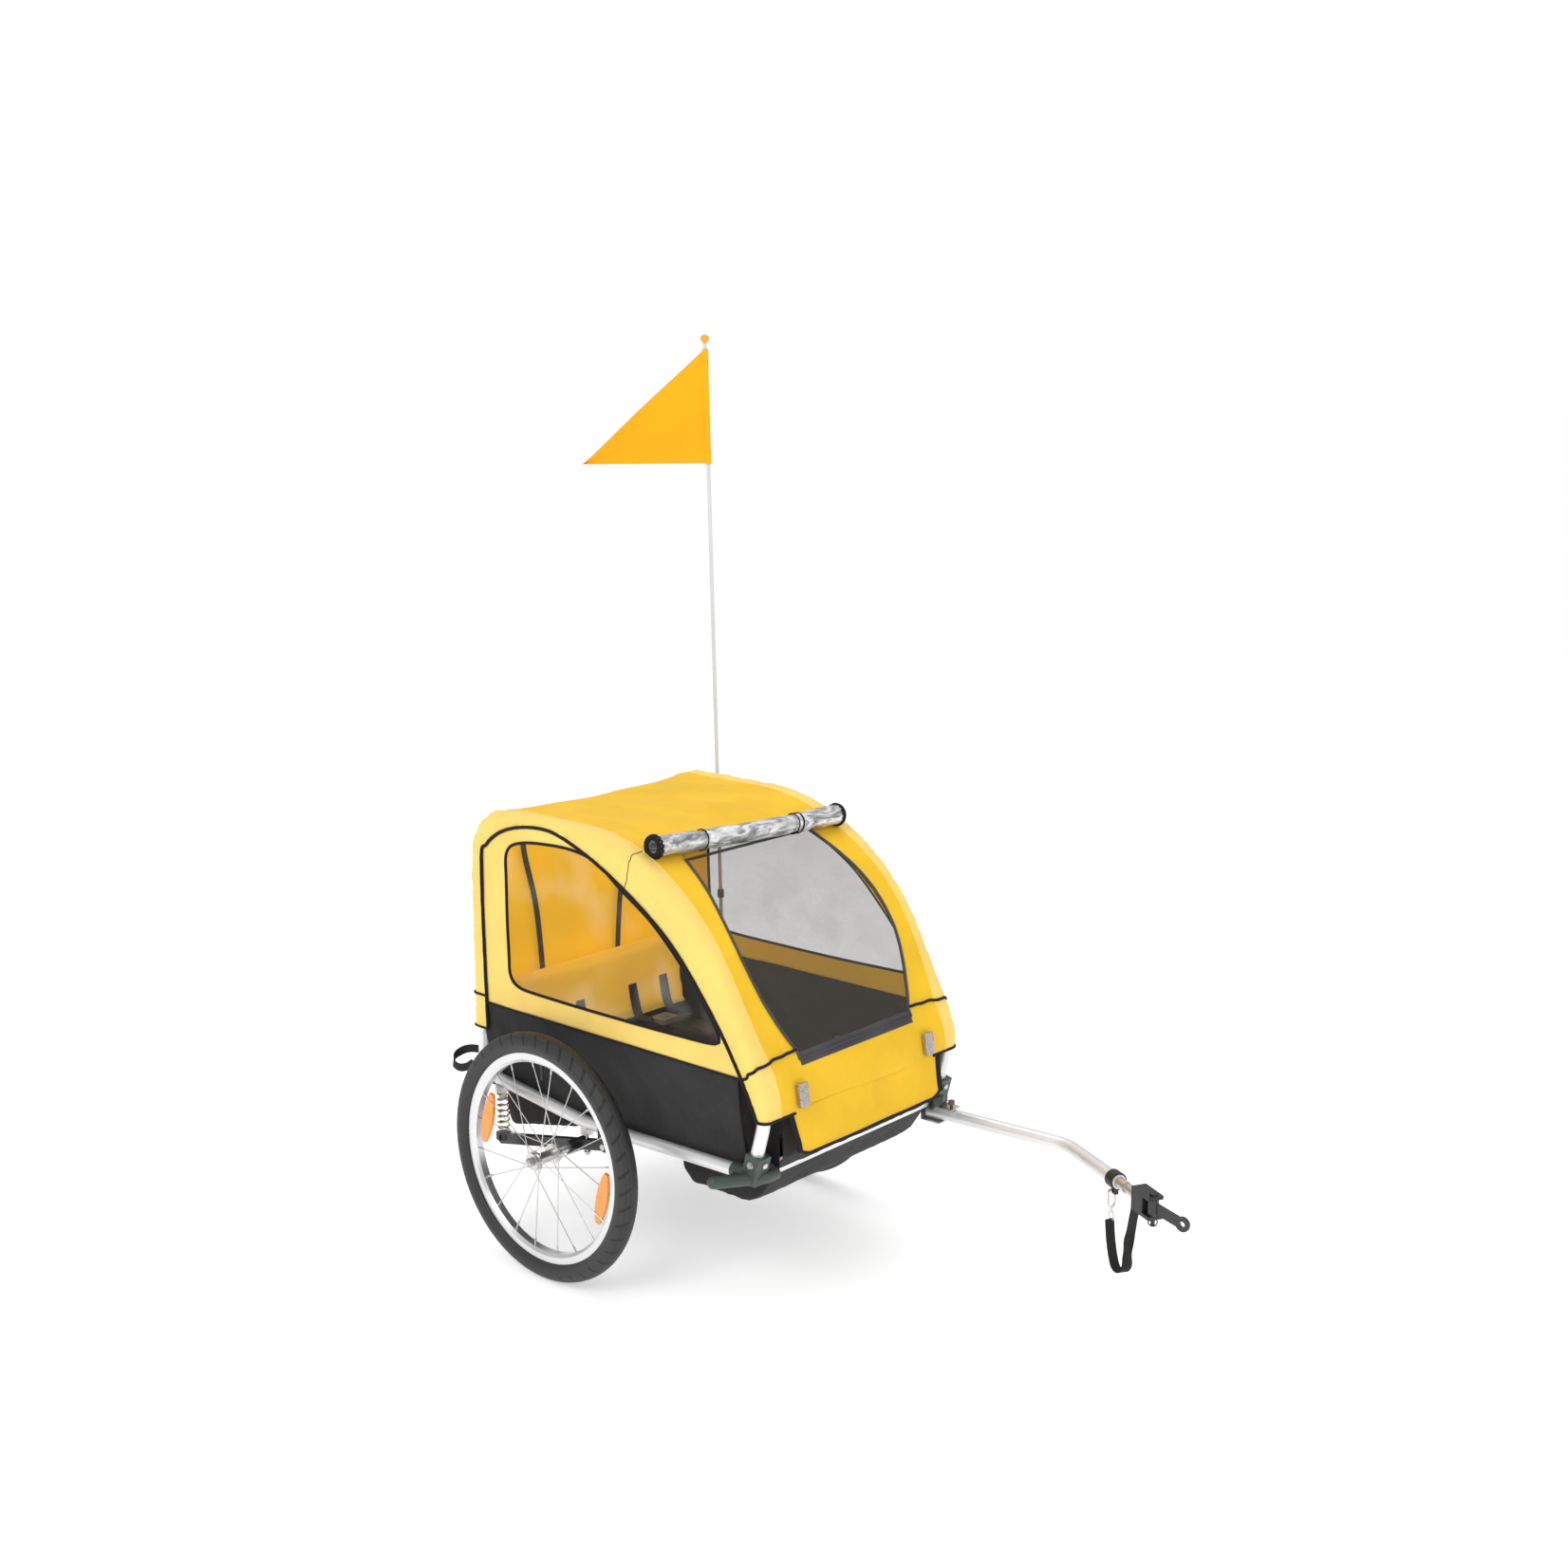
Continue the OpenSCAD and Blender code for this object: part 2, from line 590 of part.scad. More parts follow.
// Two long oval amber reflectors, clipped on the spokes at opposite sides of the wheel
module wheel_reflectors(side) {
    color("darkorange") translate([0, side * half_track, axle_z]) rotate([90, 0, 0])
        for (s = [0, 180]) rotate([0, 0, s - 14]) translate([rim_inner - 24, 0, -3.5]) difference() {
            intersection() {
                translate([-150, 0, 0]) cylinder(r = 164, h = 7, $fn = 96);
                translate([150, 0, 0]) cylinder(r = 164, h = 7, $fn = 96);
                translate([-20, -54, 0]) cube([40, 108, 7]);
            }
        }
}

// ---------------------------------------------------------------- soft body

// Shell of revolution-free cloth: the hoop's outline between two offsets, as wide as w
module hoop_skin(inner, outer, w) {
    slab_xz(w) polygon(concat(offset_path(HOOP, HOOP_R, outer), backwards(offset_path(HOOP, HOOP_R, inner))));
}

// Front opening, drawn as (across, up)
open_top_z = hoop_top_z - 38;
open_low_z = 518;
open_half = 168;
open_bulge = 40;
module front_opening(shrink) {
    n = 10;
    side_line = [for (i = [0:n]) [open_half + open_bulge * sin(180 * i / n) - shrink,
        (open_low_z + shrink) + (open_top_z - open_low_z - 2 * shrink) * i / n]];
    slab_yz(100, 640) polygon(concat(side_line, backwards([for (q = side_line) [-q[0], q[1]]])));
}

skin_low_z = 424;
flap_top_z = 506;
module canopy_roof() {
    color("gold") difference() {
        hoop_skin(skin_in, skin_out, 2 * side_out);
        front_opening(0);
        translate([0, -400, 0]) cube([700, 800, flap_top_z]);
        translate([-700, -400, 0]) cube([700, 800, skin_low_z]);
    }
}

module insect_mesh() {
    color("dimgray") intersection() {
        hoop_skin(skin_in + 0.5, skin_in + 2, 2 * side_out);
        front_opening(gap);
    }
}

// Side panel outline: inside the hoop's outline and above the seam
module side_outline(inset, low_z) {
    intersection() {
        polygon(offset_path(HOOP, HOOP_R, skin_in - inset));
        translate([-700, low_z]) square([1400, 700]);
    }
}

// Side window outline: a rounded quarter shape that follows the hoop
win_low_z = 548;
module window_outline(grow) {
    intersection() {
        polygon(offset_path(HOOP, HOOP_R, -26 + grow));
        translate([hoop_rear_x + 88 - grow, win_low_z - grow]) square([600, 400]);
    }
}

module canopy_side() {
    color("gold") translate([0, -side_in - cloth_t / 2, 0]) slab_xz(cloth_t) difference() {
        side_outline(0.1, seam_z);
        window_outline(0);
    }
}

module side_windows() {
    color([0.9, 0.93, 0.9, 0.4]) for (side = [-1, 1]) on_side(side)
        translate([0, -side_in - cloth_t / 2, 0]) slab_xz(1) window_outline(-gap);
}

// Front flap: cloth that hangs from the seam in front of the hoop feet
flap_x = hoop_front_x + tube_r - 12.5;
FLAP = [[flap_x + 23, flap_z], [flap_x + 8, 420], [flap_x + 7, 450], [flap_x + 2.6, 470],
        [flap_x - 4.7, 490], [flap_x - 12, flap_top_z]];
flap_hw = 207;
notch_z = 416;
module front_flap() {
    inner = [for (q = FLAP) q - [cloth_t, 0]];
    color("gold") intersection() {
        slab_xz(2 * side_out) polygon(concat(FLAP, backwards(inner)));
        slab_yz(400, 600) union() {
            translate([-side_out, notch_z]) square([2 * side_out, flap_top_z - notch_z]);
            polygon([[-flap_hw + 18, flap_z], [-flap_hw, flap_z + 24], [-flap_hw - 12, notch_z + 1],
                     [flap_hw + 12, notch_z + 1], [flap_hw, flap_z + 24], [flap_hw - 18, flap_z]]);
        }
    }
}

// Black cloth tub: sloping side walls, floor and the deeper footwell
tub_rear_x = hoop_rear_x + 22;
tub_front_x = hoop_foot_x - 26;
floor_z = rail_z - 10;
wall_foot = hoop_y - tube_r - 1.5;
toe_x = hoop_front_x - 3;         // front edge of the footwell
WELL = [[236, floor_z + 20], [256, well_z + 14], [272, well_z], [412, well_z], [toe_x - 57, well_z + 20],
        [toe_x, rail_front_z + 8], [toe_x, flap_z + 58], [236, flap_z + 58]];
WELL_IN = [[240, floor_z + 20], [259, well_z + 15.5], [273.5, well_z + cloth_t], [411, well_z + cloth_t],
           [toe_x - 58, well_z + 23], [toe_x - 3, rail_front_z + 9], [toe_x - 3, flap_z + 70], [240, flap_z + 70]];
// Luggage sling behind the seat, hung below the floor
sling_z = 218;
sling_hw = 240;
SLING = [[tub_rear_x, floor_z + 20], [tub_rear_x, sling_z + 10], [tub_rear_x + 10, sling_z], [-30, sling_z + 44],
         [-20, floor_z + 20]];
SLING_IN = [[tub_rear_x + cloth_t, floor_z + 21], [tub_rear_x + cloth_t, sling_z + 11.5],
            [tub_rear_x + 11, sling_z + cloth_t], [-32, sling_z + 46.5], [-23.5, floor_z + 21]];
module tub_section(inset) {
    top = seam_z - 1 + (inset > 0 ? 2 : 0);
    polygon([[-wall_foot + inset, floor_z + inset], [wall_foot - inset, floor_z + inset],
             [wall_foot - inset, rail_front_z + 24], [side_in - 2 - inset, top],
             [-side_in + 2 + inset, top], [-wall_foot + inset, rail_front_z + 24]]);
}

module floor_tub() {
    color("#202022") difference() {
        union() {
            slab_yz(tub_rear_x, tub_front_x) tub_section(0);
            slab_xz(2 * well_hw) polygon(WELL);
            slab_xz(2 * sling_hw) polygon(SLING);
        }
        slab_yz(tub_rear_x + cloth_t, tub_front_x - cloth_t) tub_section(cloth_t);
        slab_xz(2 * (well_hw - cloth_t)) polygon(WELL_IN);
        slab_xz(2 * (sling_hw - cloth_t)) polygon(SLING_IN);
        translate([front_cross_x, hoop_y, front_cross_z]) rotate([90, 0, 0])
            cylinder(d = tube_d + 0.8, h = 2 * hoop_y);
        // Room for the corner mouldings' rail sockets
        for (side = [-1, 1]) on_side(side) {
            rod_from(hoop_foot_x - 8, rail_front_z, 180 + rail_rise, corner_w - 3 + 2 * gap, 41);
            rod_from(rear_cross_x + 2, rail_rear_z, rail_fall, corner_w - 2 + 2 * gap, rear_socket_l + 1);
        }
    }
}

// Seat: a padded base and a low padded back with a rounded top edge
seat_hw = wall_foot - 8;
module seat_base() {
    color("#2a2623") slab_xz(2 * seat_hw) polygon([[-205, 318], [96, 330], [112, 342], [108, 356], [92, 362],
        [-192, 350], [-205, 340]]);
}

module seat_back() {
    color("goldenrod") slab_xz(2 * seat_hw) polygon([[-208, 356], [-186, 356], [-212, 540], [-216, 552],
        [-226, 556], [-234, 550], [-234, 540]]);
}

// Shoulder, waist and crotch webbing for two children
seat_pitch = 122;
module harness_straps() {
    color("#1d1d1f") for (s = [-1, 1]) translate([0, s * seat_pitch, 0]) {
        for (k = [-1, 1]) translate([0, k * 46, 0]) slab_xz(24)
            polygon([[-209, 530], [-180.5, 392], [-150, 380], [-149, 383], [-178, 395], [-206.5, 531]]);
        translate([0, 0, 366]) {
            translate([-158, -84, 0]) cube([24, 168, 2.5]);
            translate([-133, -12, -1]) cube([130, 24, 2.5]);
        }
    }
}

module harness_buckles() {
    color("#55585a") for (s = [-1, 1]) translate([-146, s * seat_pitch, 370]) {
        translate([-20, -24, 0]) cube([40, 48, 11]);
        translate([0, 0, 10.9]) cylinder(d = 18, h = 2.6);
    }
}

roll_r = 20;
roll_hw = 251;
roll_dir = 66;                    // where the roll's right end lies on the roof's front arc, degrees above the horizon
roll_on = 33;                     // how much further forward its left end lies
roll_dip = 15.5;                   // and how much lower
module rain_cover_roll() {
    q = arc_centre(HOOP, HOOP_R, 3) + (HOOP_R[2] + skin_out + roll_r + gap) * [cos(roll_dir), sin(roll_dir)];
    color([0.85, 0.88, 0.9, 0.6]) translate([q[0] + roll_on / 2, 0, q[1] - roll_dip / 2])
        rotate([0, 0, -atan2(roll_on, 2 * roll_hw)]) rotate([90 - atan2(roll_dip, 2 * roll_hw), 0, 0])
            difference() {
                cylinder(r = roll_r, h = 2 * roll_hw, center = true);
                cylinder(r = roll_r - 6, h = 2 * roll_hw + 2, center = true);
            }
}

// Two oblong reflectors on the flap
module front_reflectors() {
    color("white") for (s = [-1, 1]) translate([flap_x + 7.1, s * 188, 450])
        rotate([0, -9.5, 0]) translate([0, -13, -22]) cube([6, 26, 44]);
}

// Webbing loop behind the right rear foot
module rear_loop() {
    x0 = rear_cross_x - tube_r - 5;
    r = 16;
    color("#1a1a1a") translate([x0, -hoop_y, rail_rear_z + 34]) rotate([0, -16, 0]) translate([0, 0, -11])
        linear_extrude(22) difference() {
            union() {
                translate([-loop_l + r + 4, -r]) square([loop_l - r - 6, 2 * r]);
                translate([-loop_l + r + 4, 0]) circle(r = r);
            }
            translate([-loop_l + r + 4, -r + 2.4]) square([loop_l - r - 12, 2 * r - 4.8]);
            translate([-loop_l + r + 4, 0]) circle(r = r - 2.4);
        }
}

// ---------------------------------------------------------------- flag

function pole_point(z) = [pole_foot_x - (z - pole_foot_z) * tan(pole_lean), pole_y, z];
low_clip_z = pole_foot_z + 14;
module flag_holder() {
    p = pole_point(low_clip_z);
    color("#222222") difference() {
        union() {
            for (z = [low_clip_z, 620]) translate(pole_point(z)) rotate([0, -pole_lean, 0]) translate([0, 0, -9])
                difference() {
                    cylinder(r = pole_d / 2 + 3, h = 18);
                    translate([-30, -64.9, -1]) cube([60, 60, 22]);
                }
            translate([p[0] - 7, hoop_y - 4, p[2] - 34]) cube([14, pole_y - hoop_y + 3, 36]);
        }
        for (z = [low_clip_z, 620]) translate(pole_point(z)) rotate([0, -pole_lean, 0])
            translate([0, 0, z == low_clip_z ? -4.5 : -12]) cylinder(r = pole_d / 2 + run_gap, h = 30);
        mirror([0, 1, 0]) rod_from(RAIL[0][0], rail_rear_z, rail_fall, socket_d, 280);
    }
}

module flag_pole() {
    foot = pole_point(low_clip_z - 4);
    pole_l = (pole_top_z - low_clip_z + 4) / cos(pole_lean);
    color("whitesmoke") translate(foot) rotate([0, -pole_lean, 0]) {
        cylinder(d = pole_d, h = pole_l);
        translate([0, 0, pole_l]) sphere(r = ball_r);
    }
}

module flag() {
    top = pole_point(pole_top_z - 20);
    color("orange") translate(top) rotate([0, -pole_lean, 0]) translate([0, 0, -flag_h]) difference() {
        union() {
            cylinder(r = pole_d / 2 + 2.5, h = flag_h);
            slab_xz(2) polygon([[-pole_d / 2, 0], [-flag_l, -14], [-flag_l - 4, -10], [-pole_d / 2 - 14, flag_h - 6],
                [-pole_d / 2, flag_h]]);
        }
        translate([0, 0, -1]) cylinder(r = pole_d / 2 + 0.1, h = flag_h + 2);
    }
}

// ---------------------------------------------------------------- towing

plate_t = 3;
plate_gap = 1;
plate_hw = 17;
knob_off = 36;                    // lock knob, forward of the pivot
bracket_low = arm_z - arm_r - plate_gap - plate_t;
bracket_high = corner_low_z;
// Steel channel bolted under the left front corner, around the arm's rear end
module arm_bracket() {
    color("lightslategray") difference() {
        union() {
            translate([arm_px - 24, arm_py - plate_hw, bracket_low]) cube([44, 2 * plate_hw, plate_t]);
            translate([arm_px - 24, arm_py - plate_hw, bracket_high - plate_t])
                cube([24 + knob_off + 10, 2 * plate_hw, plate_t]);
            translate([arm_px - 24 - plate_t, arm_py - plate_hw, bracket_low])
                cube([plate_t + 1, 2 * plate_hw, bracket_high - bracket_low]);
        }
        translate([arm_px, arm_py, bracket_low - 1]) cylinder(r = bolt_r + 0.02, h = 60);
        translate([arm_px + knob_off, arm_py, bracket_high - 10]) cylinder(r = 3.05, h = 20);
    }
    color("silver") translate([arm_px, arm_py, bracket_low]) {
        cylinder(r = bolt_r, h = bracket_high - bracket_low);
        translate([0, 0, -6]) cylinder(d = 13, h = 6.1, $fn = 6);
    }
}

// Thumb screw that clamps the arm
module arm_lock_knob() {
    color("#5a4632") translate([arm_px + knob_off, arm_py, 0]) {
        translate([0, 0, arm_z + arm_r + 0.2]) cylinder(r = 3, h = 12);
        translate([0, 0, bracket_high + 6]) cylinder(d = 13, h = 8);
    }
}

module tow_arm() {
    color("silver") translate([arm_px, arm_py, arm_z]) difference() {
        bent_tube([[-18 * cos(arm_out), -18 * sin(arm_out)], ARM[1], ARM[2]], [90], arm_d, 2);
        translate([0, 0, -arm_d]) cylinder(r = bolt_r + run_gap, h = 2 * arm_d);
    }
}

module along_hitch(s) {
    translate([hitch_x, hitch_y, arm_z]) rotate([0, 0, -arm_in]) translate([s, 0, 0]) rotate([0, 90, 0]) children();
}

spigot_r = 7;
spigot_l = 22;
// Stepped ferrule in the arm's end, with the spigot on which the hitch block rolls
module hitch_ferrule() {
    color("gainsboro") along_hitch(0) {
        translate([0, 0, -20]) cylinder(r = arm_r - 2.05, h = 21);
        cylinder(r = arm_r - 2.5, h = 30);
        translate([0, 0, 29]) cylinder(r = 8, h = 8);
        translate([0, 0, 36]) cylinder(r = 10, h = ferrule_l - 37);
        translate([0, 0, ferrule_l - 2]) cylinder(r = spigot_r, h = spigot_l + 2);
    }
}

// Clamp collar round the arm's end, with the eye that the snap hook hangs on
eye_bar_r = 2.5;
module arm_collar() {
    color("#1d1d1f") along_hitch(-24) difference() {
        union() {
            cylinder(r = arm_r + 3.5, h = 22);
            translate([arm_r - 2, -4, 4]) cube([16, 8, 12]);
        }
        translate([0, 0, -1]) cylinder(r = arm_r + 0.03, h = 24);
        translate([arm_r + 8, 10, 10]) rotate([90, 0, 0]) cylinder(r = 3.4, h = 20);
    }
}

knuckle_r = 10;
fork_gap = 30;
module hitch_block() {
    color("#1b1c1d") difference() {
        along_hitch(ferrule_l + 1) difference() {
            translate([-block_h / 2, -15, 0]) cube([block_h, 30, block_l + 18]);
            translate([0, 0, -1]) cylinder(r = spigot_r + run_gap, h = spigot_l + 2);
            translate([-fork_gap / 2, -20, block_l - 4]) cube([fork_gap, 40, 60]);
        }
        translate([knuckle_x, knuckle_y, arm_z - 40]) cylinder(r = bolt_r, h = 80);
    }
    // Pin through the knuckle, with a ring clip below
    color("silver") translate([knuckle_x, knuckle_y, arm_z - block_h / 2 - 12]) {
        cylinder(r = bolt_r, h = block_h + 13);
        translate([0, 0, block_h + 12]) cylinder(d = 14, h = 4);
        translate([0, 0, 5]) rotate([90, 0, 30]) rotate_extrude() translate([8, 0]) circle(r = 1.2);
    }
}

module hitch_tongue() {
    color("#18191a") translate([knuckle_x, knuckle_y, arm_z]) difference() {
        union() {
            translate([0, 0, -fork_gap / 2 + 0.4]) cylinder(r = knuckle_r, h = fork_gap - 0.8);
            slab_xz(tongue_t) {
                rotate(-atan2(tongue_drop, tongue_l)) translate([0, -10]) square([tongue_l, 20]);
                translate([tongue_l, -tongue_drop]) circle(r = tongue_end_r);
            }
        }
        translate([0, 0, -20]) cylinder(r = bolt_r + run_gap, h = 40);
        translate([tongue_l, 20, -tongue_drop]) rotate([90, 0, 0]) cylinder(r = eye_r, h = 40);
    }
}

// Safety strap route, from the ferrule down and back up to the snap hook
STRAP = [[993, 172, 266], [991, 174, 256], [987, 177, 240], [982, 181, 222], [977, 185, 202], [972, 188, 182],
         [968, 191, 162], [966, 193, 142], [964, 196, 124], [957, 199, 109], [946, 202, 104], [935, 205, 109],
         [928, 207, 124], [923, 208, 144], [920, 208, 164], [918, 208, 184], [917, 208, 198]];
module safety_strap() {
    color("#151515") sweep(STRAP, 10, 1.6, [0.45, 0.89, 0]);
}

// Snap hook: its swivel ring holds the strap, its hook hangs in the collar's eye
hook_x = 919;
hook_y = 210;
module snap_hook() {
    color("silver") translate([hook_x, hook_y, 0]) {
        translate([0, 0, 204]) rotate([90, 0, -26]) rotate_extrude() translate([8, 0]) circle(r = 1.5);
        translate([0, 0, 211]) cylinder(r = 3, h = 10);
        translate([0, 0, 237]) rotate([0, 0, 62]) scale(1) rotate([90, 0, 0])
            linear_extrude(4, center = true) difference() {
                union() {
                    translate([0, 12]) circle(r = 9);
                    translate([0, -10]) circle(r = 8);
                    translate([-8.5, -10]) square([17, 22]);
                }
                translate([0, 12]) circle(r = 6);
                translate([0, -9]) circle(r = 5);
                translate([-5.5, -9]) square([11, 21]);
            }
    }
}

// ---------------------------------------------------------------- drawing

place() side_rail(-1);  // side_rail_right
place() side_rail(1);  // side_rail_left
place() cross_tube(front_cross_x, front_cross_z, cross_half);  // front_cross_tube
place() cross_tube(rear_cross_x, rear_cross_z, cross_half);  // rear_cross_tube
place() hoop(-1);  // hoop_right
place() hoop(1);  // hoop_left
place() roof_spreader();
place() on_side(-1) front_corner();  // front_corner_right
place() on_side(1) front_corner();  // front_corner_left
place() rear_corners();
place() frame_screws();
place() suspension_brackets();
place() suspension_bolts();
place() spring_caps();
place() on_side(-1) coil_spring();  // coil_spring_right
place() on_side(1) coil_spring();  // coil_spring_left
place() on_side(-1) swing_arm();  // swing_arm_right
place() on_side(1) swing_arm();  // swing_arm_left
place() on_side(-1) wheel_axle();  // wheel_axle_right
place() on_side(1) wheel_axle();  // wheel_axle_left
place() tyre(-1);  // tyre_right
place() tyre(1);  // tyre_left
place() inner_tube(-1);  // inner_tube_right
place() inner_tube(1);  // inner_tube_left
place() rim(-1);  // rim_right
place() rim(1);  // rim_left
place() spokes(-1);  // spokes_right
place() spokes(1);  // spokes_left
place() hub(-1);  // hub_right
place() hub(1);  // hub_left
place() hub_bearings(-1);  // hub_bearings_right
place() hub_bearings(1);  // hub_bearings_left
place() wheel_reflectors(-1);  // wheel_reflectors_right
place() wheel_reflectors(1);  // wheel_reflectors_left
place() floor_tub();
place() seat_base();
place() seat_back();
place() harness_straps();
place() harness_buckles();
place() canopy_roof();
place() on_side(-1) canopy_side();  // canopy_side_right
place() on_side(1) canopy_side();  // canopy_side_left
place() side_windows();
place() insect_mesh();
place() front_flap();
place() rain_cover_roll();
place() front_reflectors();
place() rear_loop();
place() flag_holder();
place() flag_pole();
place() flag();
place() arm_bracket();
place() arm_lock_knob();
place() tow_arm();
place() arm_collar();
place() hitch_ferrule();
place() safety_strap();
place() snap_hook();
place() hitch_block();
place() hitch_tongue();
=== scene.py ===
"""Child bicycle trailer: finished cloth, webbing, mouldings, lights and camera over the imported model."""

import math

import bmesh
import bpy
from mathutils import Matrix, Vector, noise


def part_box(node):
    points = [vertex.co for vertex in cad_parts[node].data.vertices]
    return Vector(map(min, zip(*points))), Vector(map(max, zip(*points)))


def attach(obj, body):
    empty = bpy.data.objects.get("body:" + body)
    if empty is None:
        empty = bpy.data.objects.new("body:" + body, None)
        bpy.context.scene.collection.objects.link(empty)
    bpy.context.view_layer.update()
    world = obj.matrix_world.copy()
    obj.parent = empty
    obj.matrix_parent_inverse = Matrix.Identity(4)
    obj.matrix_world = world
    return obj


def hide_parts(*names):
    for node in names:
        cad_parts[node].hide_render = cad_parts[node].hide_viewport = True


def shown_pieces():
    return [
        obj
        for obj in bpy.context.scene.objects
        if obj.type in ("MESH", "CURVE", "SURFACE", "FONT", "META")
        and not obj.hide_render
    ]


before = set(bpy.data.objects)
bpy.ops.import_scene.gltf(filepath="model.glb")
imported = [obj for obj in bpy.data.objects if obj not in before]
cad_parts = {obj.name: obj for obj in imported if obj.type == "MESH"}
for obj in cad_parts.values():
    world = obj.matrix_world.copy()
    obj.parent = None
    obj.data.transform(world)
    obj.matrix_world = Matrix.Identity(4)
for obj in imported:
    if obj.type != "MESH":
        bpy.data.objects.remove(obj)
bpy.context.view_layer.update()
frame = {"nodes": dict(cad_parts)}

# ---------------------------------------------------------------- places, in metres
HUB_LOW, HUB_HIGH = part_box("hub_right")
AXLE_X = (HUB_LOW[0] + HUB_HIGH[0]) / 2
AXLE_Z = (HUB_LOW[2] + HUB_HIGH[2]) / 2
HOOP_Y = 0.273
SIDE_Y = 0.2895
SKIN = 0.0161
HOOP = [(0.466, 0.322), (0.5, 0.445), (0.342, 0.746), (0.13, 0.872), (-0.264, 0.875), (-0.27, 0.347)]
HOOP_BEND = [0.13, 0.43, 0.39, 0.085]
SEAM_Z = 0.492


def at(x, y, z):
    """A point measured from the wheel axle, in the row frame."""
    return Vector((x + AXLE_X, y, z))

# ---------------------------------------------------------------- camera
cam_data = bpy.data.cameras.new("camera")
cam_data.sensor_width = 36
cam_data.lens = 45.76
cam_data.clip_start = 0.05
camera = bpy.data.objects.new("camera", cam_data)
camera.location = at(2.7303, -2.7864, 1.7202)
camera.rotation_euler = (math.radians(90 - 11.517), 0, math.radians(41.096))
bpy.context.scene.collection.objects.link(camera)
bpy.context.scene.camera = camera

# ---------------------------------------------------------------- making and placing
def keep(bm, name, *materials, smooth=True):
    """Turns a bmesh into a named object with its finishes."""
    mesh = bpy.data.meshes.new(name)
    bm.to_mesh(mesh)
    bm.free()
    for m in materials:
        mesh.materials.append(m)
    if smooth:
        mesh.shade_smooth()
    obj = bpy.data.objects.new(name, mesh)
    bpy.context.scene.collection.objects.link(obj)
    return obj


def modifier(obj, kind, **values):
    m = obj.modifiers.new(kind.lower(), kind)
    for key, value in values.items():
        setattr(m, key, value)
    return m


def cloth_grid(across, along, place):
    """A grid whose points are laid over a shape: place(u, v) with u across and v along, both 0 to 1."""
    bm = bmesh.new()
    bmesh.ops.create_grid(bm, x_segments=across, y_segments=along, size=0.5)
    uv = bm.loops.layers.uv.new("cloth")
    for f in bm.faces:
        for loop in f.loops:
            loop[uv].uv = (loop.vert.co.x + 0.5, loop.vert.co.y + 0.5)
    for v in bm.verts:
        v.co = place(v.co.x + 0.5, v.co.y + 0.5)
    return bm


def cord_curve(name, points, radius, material, closed=False, resolution=6):
    """A round cord or piping along points, kept as a mesh."""
    data = bpy.data.curves.new(name, "CURVE")
    data.dimensions = "3D"
    data.bevel_depth = radius
    data.bevel_resolution = 3
    data.resolution_u = resolution
    data.use_fill_caps = True
    spline = data.splines.new("POLY")
    spline.points.add(len(points) - 1)
    for p, q in zip(spline.points, points):
        p.co = (*q, 1)
    spline.use_cyclic_u = closed
    shell = bpy.data.objects.new(name, data)
    bpy.context.scene.collection.objects.link(shell)
    deps = bpy.context.evaluated_depsgraph_get()
    mesh = bpy.data.meshes.new_from_object(shell.evaluated_get(deps))
    mesh.name = name
    mesh.materials.clear()
    mesh.materials.append(material)
    mesh.shade_smooth()
    bpy.data.objects.remove(shell)
    obj = bpy.data.objects.new(name, mesh)
    bpy.context.scene.collection.objects.link(obj)
    return obj


def smooth_path(points, steps):
    """Points on a smooth curve through the given ones, evenly spaced."""
    pts = [Vector(p) for p in points]
    fine = []
    for i in range(len(pts) - 1):
        p0, p1, p2, p3 = pts[max(i - 1, 0)], pts[i], pts[i + 1], pts[min(i + 2, len(pts) - 1)]
        for k in range(16):
            t = k / 16
            fine.append(0.5 * (2 * p1 + (p2 - p0) * t + (2 * p0 - 5 * p1 + 4 * p2 - p3) * t * t
                               + (3 * p1 - p0 - 3 * p2 + p3) * t ** 3))
    fine.append(pts[-1])
    return even(fine, steps)


def even(points, steps):
    """The same line with steps + 1 evenly spaced points."""
    lengths = [0.0]
    for a, b in zip(points, points[1:]):
        lengths.append(lengths[-1] + (b - a).length)
    out, j = [], 0
    for k in range(steps + 1):
        want = lengths[-1] * k / steps
        while j < len(points) - 2 and lengths[j + 1] < want:
            j += 1
        span = lengths[j + 1] - lengths[j] or 1
        out.append(points[j].lerp(points[j + 1], min(1, max(0, (want - lengths[j]) / span))))
    return out


def rounded(points, bends):
    """The hoop's centre line: straight stretches joined by arcs, as fine points."""
    pts = [Vector(p) for p in points]
    out = [pts[0]]
    for i in range(1, len(pts) - 1):
        a, b = (pts[i - 1] - pts[i]).normalized(), (pts[i + 1] - pts[i]).normalized()
        half = a.angle(b) / 2
        back = bends[i - 1] / math.tan(half)
        centre = pts[i] + (a + b).normalized() * bends[i - 1] / math.sin(half)
        start, end = pts[i] + a * back - centre, pts[i] + b * back - centre
        total = start.angle(end)
        for k in range(25):
            t = k / 24
            turned = start * math.sin((1 - t) * total) + end * math.sin(t * total)
            out.append(centre + turned / math.sin(total))
    out.append(pts[-1])
    return out


def ripple(x, y, z, scale, seed=0.0):
    return noise.noise(Vector((x / scale + seed, y / scale, z / scale)))

# ---------------------------------------------------------------- finishes
def group(name, inputs, outputs):
    """A shader node group with named sockets."""
    tree = bpy.data.node_groups.new(name, "ShaderNodeTree")
    for label, kind, value in inputs:
        socket = tree.interface.new_socket(name=label, in_out="INPUT", socket_type=kind)
        socket.default_value = value
    for label, kind in outputs:
        tree.interface.new_socket(name=label, in_out="OUTPUT", socket_type=kind)
    return tree, tree.nodes.new("NodeGroupInput"), tree.nodes.new("NodeGroupOutput")


